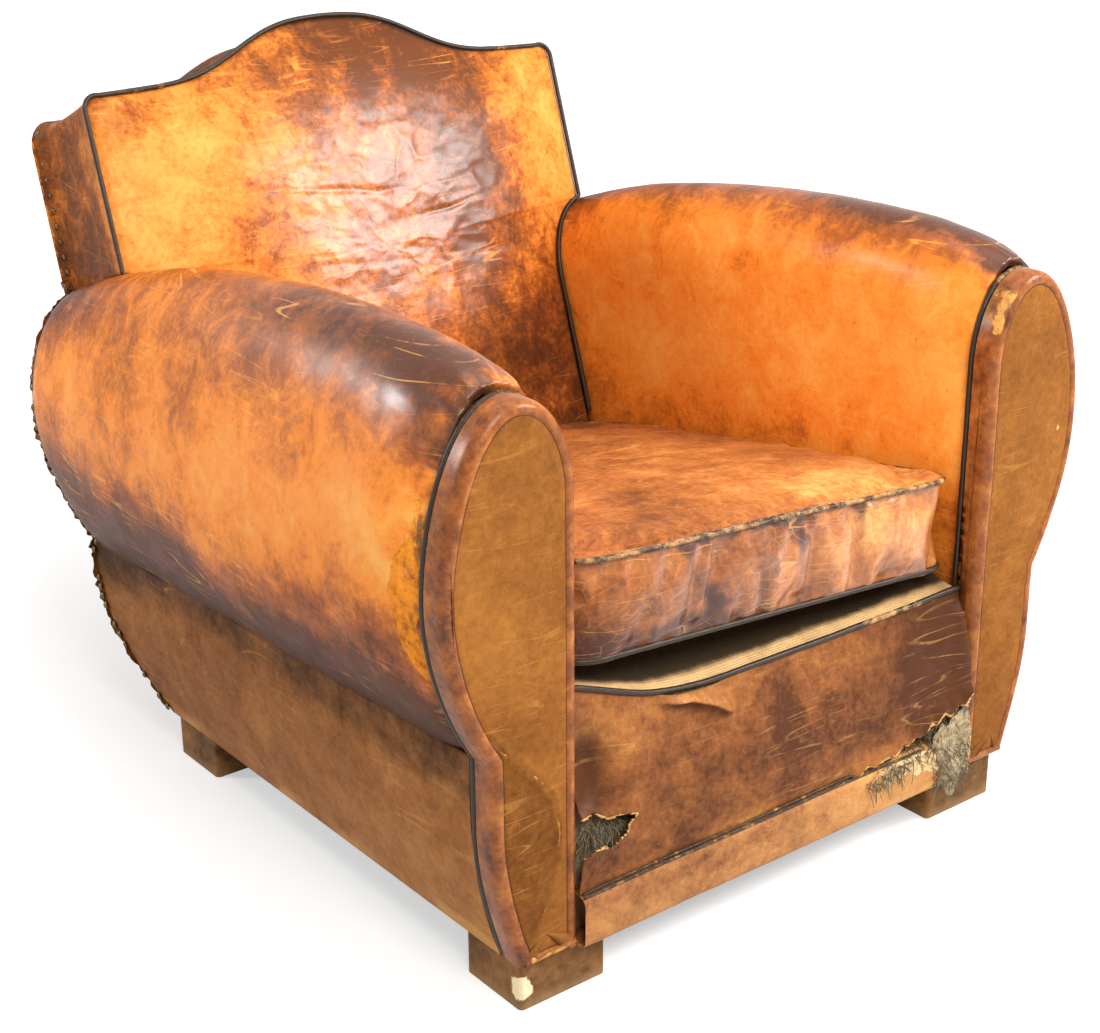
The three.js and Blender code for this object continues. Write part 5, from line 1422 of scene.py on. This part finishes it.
# Leather of the cushion: the shape, moved as the cloth run says, with ruffles on the border and
# dents on the top
def cushion():
    count, inside = cushionSet["points"], cushionSet["inside"]
    borderRows = np.concatenate([[1.5, 4], np.linspace(8, 96, 40), [100, 102.5]]) / cushionSet["thick"]
    fine = np.concatenate([np.linspace(0, 1, 7), 1 + borderRows, 2 + np.linspace(0, 1, 100)])
    coarse = np.concatenate([np.linspace(0, 1, 7), 1 + np.linspace(0.04, 0.96, 13), 2
                             + np.linspace(0, 1, 34)])
    start = cushionShape(count // 2, coarse, *cushionSet["start"])[0]
    held = (coarse <= 1) | (coarse == 2)
    caps = mix(cushionSet["borderCap"], cushionSet["topCap"], smooth(coarse, 1.9, 2.1))
    shift = clothRun(start, held, inside, caps, clothSet)
    print("cushion cloth moved", round(float(np.abs(shift).max()), 1), "mm")
    form = cushionSet["ran" if np.abs(shift).max() > 0 else "still"]
    points, height, border, share, out, wall = cushionShape(count, fine, *form)
    points += refined(shift, coarse, fine)
    top = (fine >= 2)[:, None] * np.ones((1, count))
    place = points.copy()
    around = np.arange(count)[None, :] / count * 2160 + 0 * height
    front = np.clip(-out[:, 1], 0, 1)[None, :]
    ruffle = (crumpled(onFlat(around, height * 0.45), 64, 141) - 0.55) * 3.6 * wall * (0.4 + 0.6 * front)
    pucker = layered(onFlat(around, height * 0.2), 15, 143) * 1.5 * (1.1 - wall)
    bulge = border * (ruffle + pucker)
    points[..., 0] += out[None, :, 0] * bulge
    points[..., 1] += out[None, :, 1] * bulge
    dents = layered(place, 170, 145) * 2.4 + layered(place, 60, 147) * 1.2
    dents += (crumpled(place * [0.45, 1, 1], 42, 149) - 0.5) * 2.0
    points[..., 2] += top * dents * smooth(share, 0.0, 0.09)
    x, y = points[..., 0], points[..., 1]
    frontTop = bump(y, 60, 70) * top
    worn = 0.34 + 0.3 * layered(place, 90, 153) + 0.4 * frontTop * smooth(x, -120, 120)
    worn += (border * 0.08 + top * 0.16 * bump(x, 40, 160) * bump(y, 250, 160)
             - 0.2 * top * smooth(y, 420, 560))
    streak = layered(onFlat(around * 1.3, height * 0.5), 30, 155)
    blots = layered(onFlat(around, height * 1.1), 44, 157)
    left = 1 - smooth(x, -250, -150)
    # Lighter on the border's front right, most at mid height: wear and a painted highlight
    worn += border * (0.24 * streak + 0.08 * smooth(x, -60, 120)
                      + 0.3 * bump(x, 90, 70) * bump(height, 66, 30)
                      + 0.02 - 0.3 * left * (1 - smooth(height, 20, 70)))
    stainAndPaintedShade = 0.12 + border * (0.16 - 0.3 * streak + 0.7 * smooth(blots, 0.1, 0.5) * (1 - smooth(x, 60, 240)))
    stainAndPaintedShade += border * (0.25 * (1 - smooth(height, 8, 30)) + 0.3 * bump(height, 97, 8)
                       + 0.4 * left * (1 - smooth(height, 20, 80)))
    stainAndPaintedShade += top * (0.25 * layered(place, 60, 157) + 0.3 * smooth(y, 380, 560))
    raw = top * 0.6 * bump(share, 0.012, 0.016) * smooth(layered(place, 30, 159), 0.0, 0.5)
    crease = np.clip(0.45 + 0.5 * layered(place, 60, 161), 0, 1)
    fields = {"worn": worn, "stainAndPaintedShade": stainAndPaintedShade, "raw": raw, "shine": border * (0.9 - 0.7 * left) + 0.1,
              "crease": crease}
    return surface("cushionLeather", points, inside=inside, around=True, attributes=fields, weld=True)


cushionMaterial = leather("cushionLeatherMaterial", cushionLook)
piece = settle(cushion(), cushionMaterial, "cushion_leather", "seat_cushion")
# The top cord follows the same wave as the shape and is rubbed pale in front
for word, height, wavy, rubbed, radius in (("top", 100.2, 1, 0.5, 2.4), ("bottom", 4.0, 0, 0.08, 2.9)):
    line = cushionLine(3.4, 620)
    wave = wavy * layered(onLine(line[:, 0]), 90, 151) * 2.2 * bump(line[:, 1], 22, 60)
    z = cushionUnder(line[:, 0], line[:, 1]) + height + wave
    rubs = rubbed * bump(line[:, 1], 18, 60) + 0.06
    edgeCord(f"cushionCord_{word}", np.column_stack([line, z]), np.array([0.0, 0.0, 1.0]),
             [f"cushion_piping_{word}"], radius=radius, closed=True, rubs=rubs)
print("cushion done")

# Seat deck under the cushion


# Top edge of the front panel, higher at the left
def lipZ(x):
    return 259 + 60 * smooth(-x, 60, 327) ** 1.5


# From that edge up to the cushion's underside
def deckZ(x, y):
    return mix(lipZ(x), cushionUnder(x, y) - 0.3, smooth(y, 23, 119))


# Pale cloth over the seat, with soft waves near the front and its lip turned down, and painted shadow where
# the cushion hangs over it
def deck():
    x = np.linspace(-266, 266, 140)[None, :]
    y = np.concatenate([np.linspace(24, 160, 44), np.linspace(170, 590, 24)])[:, None]
    z = deckZ(x, y) * np.ones_like(x * y)
    place = onFlat(x + 0 * y, y + 0 * x)
    z = z + layered(place, 60, 171) * 2.0 * bump(y, 75, 32) - 1.2
    points = np.stack([x + 0 * y, y + 0 * x, z], axis=-1)
    lip = points[:1] + [0, -0.5, -14]
    points = np.concatenate([lip, points], axis=0)
    # Painted shadow: the cloth turns dark from 33 to 52 mm behind the front, under the cushion
    return surface("deckCloth", points, inside=(0, 300, 0),
                   attributes={"stainAndPaintedShade": smooth(points[..., 1], 33, 52)})


deckMaterial = weaveMaterial("deckClothMaterial", (0.78, 0.5, 0.22), (0.36, 0.21, 0.08))
piece = settle(deck(), deckMaterial, "deck_cloth", "seat_deck", "seat_stuffing", "spring_cloth")

# Front panel, torn

tearLine = [(98, 103), (108, 111), (120, 106), (134, 111), (150, 109), (160, 117), (170, 114), (180, 122),
            (192, 118),
            (201, 128), (211, 126), (220, 137), (231, 131), (240, 141), (250, 139), (256, 149), (268, 152)]
tearArea = tearLine + [(300, 152), (300, 60), (98, 60)]
holeLine = [(-270, 184), (-250, 184), (-238, 176), (-222, 175), (-204, 171), (-214, 164), (-216, 157),
            (-234, 149),
            (-252, 152), (-270, 148)]


# The panel's face: slack in the middle, back towards its top
def panelY(x, z):
    share = (z - 104) / (lipZ(x) - 104)
    return 20 * share**2 - 5 * np.sin(np.pi * np.clip(share, 0, 1))


pleatLine = [(-160, 262), (-126, 256), (-96, 243), (-72, 228)]


# Leather of the front: the face with dents, a pleat, a hollow, and edges that curl at the tears
def frontPanel():
    columns, rows = 270, 98
    x = np.linspace(-266.5, 266.5, columns)[None, :] * np.ones((rows, 1))
    up = np.linspace(0, 1, rows)[:, None]
    z = mix(105.0, lipZ(x) + 0.5, up)
    place = onFlat(x, z)
    flat = np.stack([x, z], axis=-1)
    ragged = flat + np.stack([layered(place, 9, 181), layered(place, 9, 183)], axis=-1) * 3.0
    torn = within(ragged, tearArea) | within(ragged, holeLine)
    toTear = lineDistance(flat, tearLine)
    toHole = lineDistance(flat, holeLine)
    y = panelY(x, z)
    free = smooth(up, 0, 0.1) * (1 - smooth(up, 0.93, 1))
    y = y - layered(place, 95, 185) * 3.0 * free - (crumpled(place * [0.6, 1, 1], 52, 187) - 0.5) * 3.6 * free
    # A pleat hangs from the left of the top edge, with a hollow beside the arm
    fold = lineDistance(flat, pleatLine)
    under = z < np.interp(x, *np.array(pleatLine, float).T)
    pleated = smooth(x, -168, -140) * (1 - smooth(x, -84, -64))
    ridge = np.where(under, np.exp(-fold / 2.6), np.exp(-fold / 15)) * pleated
    y = y - 13 * ridge
    y = y + 16 * np.exp(-(((x + 250) / 26) ** 2 + ((z - 225) / 38) ** 2))
    y = y - 6 * bump(toTear, 0, 12) - 5 * bump(toHole, 0, 9)
    # Its right edge has come off the arm and curls forward
    edgeLine = 262 - 5 * layered(onLine(z), 30, 186) - 4 * smooth(z, 180, 140)
    torn |= x > edgeLine
    y = y - 4 * bump(x, 258, 14) * (1 - smooth(z, 235, 258))
    cells = ~(torn[:-1, :-1] | torn[1:, :-1] | torn[:-1, 1:] | torn[1:, 1:])
    left = bump(x, -225, 70)
    worn = (0.25 + 0.45 * layered(place, 80, 189) + 0.1 * left * smooth(z, 170, 250)
            - 0.3 * smooth(x, 100, 240))
    # Painted highlight and wear on the pleat's upper slope
    worn += 0.3 * ridge * ~under + 0.2 * bump(z, 108, 14)
    stainAndPaintedShade = 0.25 + 0.4 * smooth(x, 40, 240) * smooth(z, 130, 230) + 0.35 * layered(place, 60, 191)
    # Painted shadow under the pleat's fold
    stainAndPaintedShade += 0.6 * under * bump(fold, 5, 6) * pleated
    # Painted shade in the hollow beside the arm
    stainAndPaintedShade += 1.0 * np.exp(-(((x + 252) / 24) ** 2 + ((z - 225) / 36) ** 2))
    raw = (0.9 * bump(toTear, 0, 3.5) + 0.85 * bump(toHole, 0, 3)
           + 0.6 * bump(toTear, 8, 12) * layered(place, 16, 193))
    fields = {"worn": worn, "stainAndPaintedShade": stainAndPaintedShade, "raw": raw, "shine": x * 0 + 0.2,
              "crease": np.clip(0.5 + 0.6 * layered(place, 60, 195), 0, 1)}
    points = np.stack([x, y, z], axis=-1)
    piece = surface("frontPanelLeather", points, inside=(0, 300, 200), keep=cells, attributes=fields)
    return thicken(piece, 0.0018)


panelMaterial = leather("panelLeatherMaterial", panelLook)
settle(frontPanel(), panelMaterial, "panel_leather", "front_panel")

x = np.linspace(-264, 262, 260)
path = np.stack([x, np.full(260, 20.0), lipZ(x) + 2.6 + lattice(onLine(x), 60, 7)], axis=-1)
edgeCord("frontCord", path, np.array([0.0, 0.0, 1.0]), ["front_panel_piping"], radius=3.0,
         rubs=0.12 + 0.4 * bump(x, 150, 90))


# Hair and hessian behind the tears, spilling over the band at the right
def stuffingPad():
    columns, rows = 180, 66
    x = np.linspace(-266, 266, columns)[None, :] * np.ones((rows, 1))
    up = np.linspace(0, 1, rows)[:, None]
    z = mix(106, lipZ(x) - 4, up)
    place = onFlat(x, z)
    spill = smooth(x, 190, 235) * (1 - smooth(z, 110, 145))
    lumps = layered(place, 34, 201, 4) * 5 + layered(place, 9, 203) * 1.6
    y = panelY(x, z) + 9 - np.abs(lumps) * 0.9 + 3 - spill * (12 + 6 * layered(place, 22, 205))
    y = np.where(spill > 0.02, y, np.maximum(y, panelY(x, z) + 4.5))
    y = y + 18 * np.exp(-(((x + 250) / 30) ** 2 + ((z - 225) / 42) ** 2))
    points = np.stack([x, y, z], axis=-1)
    return surface("stuffingPad", points, inside=(0, 300, 200))


hairLook = hairMaterial("stuffingMaterial", (0.42, 0.32, 0.18), (0.08, 0.055, 0.03))
piece = settle(stuffingPad(), hairLook, "hair_stuffing", "front_stuffing")


# Loose strands, each a thin three-sided thread of eight points
def strands(name, roots, lengths, droop, seed, radius=0.45):
    count, steps = len(roots), 8
    rng = np.random.default_rng(seed)
    heading = unit(rng.normal(size=(count, 3)) * [0.8, 0.2, 0.8] + [0, -0.45, -0.2])
    bend = rng.normal(size=(count, 3)) * 0.5
    t = np.linspace(0, 1, steps)[None, :, None]
    path = roots[:, None] + lengths[:, None, None] * (heading[:, None] * t + bend[:, None] * t**2 * 0.7)
    path[..., 2] -= droop * lengths[:, None] * t[..., 0] ** 2
    along = unit(np.gradient(path, axis=1))
    side = unit(np.cross(along, [0.3, 0.5, 0.8]))
    over = np.cross(along, side)
    angle = np.array([0, 2.094, 4.189])
    section = np.cos(angle)[:, None] * side[:, :, None] + np.sin(angle)[:, None] * over[:, :, None]
    ring = path[:, :, None] + radius * section
    index = np.arange(count * steps * 3).reshape(count, steps, 3)
    index = np.concatenate([index, index[..., :1]], axis=-1)
    quads = np.stack([index[:, :-1, :-1], index[:, :-1, 1:], index[:, 1:, 1:], index[:, 1:, :-1]], axis=-1)
    return finishMesh(name, toMetres(ring.reshape(-1, 3)), quads.reshape(-1, 4).tolist(), {})


# Roots along the right tear and over the band below it, then in the left hole
def looseHair():
    rng = np.random.default_rng(211)
    count = 620
    line = resample(np.array(tearLine), 200)
    roots = line[(rng.uniform(size=count) * 199).astype(int)]
    roots = roots + np.stack([rng.uniform(0, 22, count), -rng.uniform(1, 22, count)], axis=-1)
    low = rng.uniform(size=count) < 0.5
    roots[low] = np.stack([rng.uniform(206, 262, low.sum()), rng.uniform(48, 130, low.sum())], axis=-1)
    roots[:, 0] = np.clip(roots[:, 0], 104, 262)
    y = np.where(roots[:, 1] < 104, -8.0, panelY(roots[:, 0], roots[:, 1]) + 3.0)
    right = np.column_stack([roots[:, 0], y, roots[:, 1]])
    hole = np.column_stack([rng.uniform(-264, -216, 130), np.zeros(130), rng.uniform(153, 178, 130)])
    hole[:, 1] = panelY(hole[:, 0], hole[:, 2]) + 5
    roots = np.vstack([right, hole])
    return strands("looseHair", roots, rng.uniform(4, 15, len(roots)), 0.6, 213, 0.4)


settle(looseHair(), hairLook, "hair_stuffing")


# Torn hessian hanging over the right end of the band
def hangingLump():
    columns, rows = 70, 80
    across = np.linspace(0, 1, columns)[None, :] * np.ones((rows, 1))
    up = np.linspace(0, 1, rows)[:, None] * np.ones((1, columns))
    top = 143 - 16 * (1 - across)
    bottom = 46 - 8 * across + 8 * np.sin(across * 9)
    z = mix(bottom, top, up)
    x = mix(206 + 10 * np.sin(up * 7) + 8 * up, 267, across)
    place = onFlat(x, z)
    body = np.sin(np.pi * across) ** 0.5 * np.sin(np.pi * np.clip(up * 0.9 + 0.05, 0, 1)) ** 0.5
    y = np.where(z < 108, -9.0, mix(-7.0, 6.0, smooth(z, 108, 170)))
    y = (y - 3.0 * body - np.abs(layered(place, 24, 221, 4)) * 9 * body - layered(place, 8, 223) * 1.5 * body
         + 2.0)
    ragged = layered(place, 12, 225) * 0.16
    gone = (up < 0.05 + ragged) | (across < 0.06 + ragged) | (up > 0.96 - ragged)
    cells = ~(gone[:-1, :-1] | gone[1:, 1:])
    piece = surface("tornHessian", np.stack([x, y, z], axis=-1), inside=(235, 300, 120), keep=cells)
    return thicken(piece, 0.0016)


hessian = weaveMaterial("hessianMaterial", (0.46, 0.35, 0.2), (0.12, 0.085, 0.045), 900, 0.95)
settle(hangingLump(), hessian, "hair_stuffing")


# Band round the foot of the front
def frontBand():
    columns = 330
    x = np.linspace(-266.6, 266.6, columns)[None, :]
    profile = np.array([(26, 104), (12, 104), (2, 104.3), (-4, 103), (-7.5, 99.5), (-9, 95), (-9.2, 84),
                        (-9.2, 74),
                        (-9, 64), (-8.6, 56), (-6.5, 52), (-3, 50.5), (6, 50.4), (20, 50.4)], float)
    profile = resample(profile, 60)
    y = profile[:, :1] + 0 * x
    z = profile[:, 1:] + 0 * x
    x = x + 0 * y
    place = onFlat(x, z)
    front = smooth(-y, 2, 8)
    y = y + front * (layered(place, 70, 231) * 1.6 + layered(place, 20, 233) * 0.6 + 1.0)
    low = 1 - smooth(z, 52, 66)
    rubbed = smooth(layered(place, 55, 235), -0.1, 0.45)
    leftThird = 1 - smooth(x, -150, -40)
    worn = 0.45 + 0.3 * layered(place, 70, 237) + 0.5 * low * rubbed + 0.3 * smooth(x, 60, 140)
    endTear = smooth(x, 80, 170) * smooth(z + 14 * layered(place, 24, 239), 66, 84)
    raw = low * rubbed * (0.55 * leftThird + 0.35) + 0.85 * endTear + 0.5 * smooth(x, 180, 240) * rubbed
    stainAndPaintedShade = 0.3 - 0.2 * endTear + 0.3 * layered(place, 50, 241)
    fields = {"worn": worn, "stainAndPaintedShade": stainAndPaintedShade, "raw": raw * front, "shine": x * 0 + 0.2, "crease": x * 0 + 0.6}
    return surface("frontBandLeather", np.stack([x, y, z], axis=-1), inside=(0, 300, 77), attributes=fields)


bandMaterial = leather("bandLeatherMaterial",
                       {**panelLook, "raw": (0.85, 0.6, 0.3), "base": (0.32, 0.125, 0.045),
                                               "warm": (0.5, 0.22, 0.075)})
settle(frontBand(), bandMaterial, "panel_leather", "front_band")
for offset, word in ((0.0, "lower"), (3.4, "upper")):
    x = np.linspace(-265, 196 - 50 * (offset > 0), 240)
    path = np.stack([x, np.full(240, -4.6 + offset * 0.55), 104.2 + offset + 0.5 * np.sin(x / 37)], axis=-1)
    edgeCord(f"bandWelt_{word}", path, np.array([0.0, 1.0, 0.0]), [], radius=1.3, rub=0.42)
print("front done")

# Nodes that stay, with materials of their own

beech = woodMaterial("beechMaterial", (0.5, 0.31, 0.14), (0.32, 0.18, 0.075), 0.65)
steel = metalMaterial("springMaterial", (0.35, 0.33, 0.3), (0.15, 0.12, 0.09))
jute = weaveMaterial("webbingMaterial", (0.42, 0.31, 0.17), (0.2, 0.14, 0.07))
blackCloth = weaveMaterial("dustClothMaterial", (0.05, 0.045, 0.04), (0.015, 0.014, 0.012), 1400)
footPlain = footMaterial("footMaterial", None)
footChipped = footMaterial("footChippedMaterial", {"place": tuple(toMetres((-326, 12, 22))), "size": 0.014})


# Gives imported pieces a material, found by how their names begin
def dress(prefixes, material):
    for name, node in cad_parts.items():
        if name.startswith(tuple(prefixes)):
            node.material_slots[0].material = material


dress(("rail_", "corner_block", "arm_post", "arm_top_rail", "arm_under_rail", "arm_rear_board", "back_post",
       "back_crest", "back_lower"), beech)
dress(("seat_spring",), steel)
dress(("seat_webbing",), jute)
dress(("foot_",), footPlain)
dress(("foot_front_left",), footChipped)


# Dust cloth, sagging a little between its tacks, cut out round the feet
def dustCloth():
    x = np.linspace(-324, 324, 66)[None, :]
    y = np.linspace(32.5, 643.5, 62)[:, None]
    sag = 6 * np.clip(1 - (x / 330) ** 2, 0, 1) * np.clip(1 - ((y - 338) / 310) ** 2, 0, 1)
    place = onFlat(x + 0 * y, y + 0 * x)
    z = 47.0 - sag + layered(place, 80, 251) * 1.0
    nearFoot = (np.abs(x) > 223) & ((y < 100) | (y > 574))
    cells = ~(nearFoot[:-1, :-1] | nearFoot[1:, 1:])
    return surface("dustClothSheet", np.stack([x + 0 * y, y + 0 * x, z], axis=-1), inside=(0, 300, 600),
                   keep=cells)


piece = settle(dustCloth(), blackCloth, "dust_cloth", "dust_cloth")
print("frame nodes done")
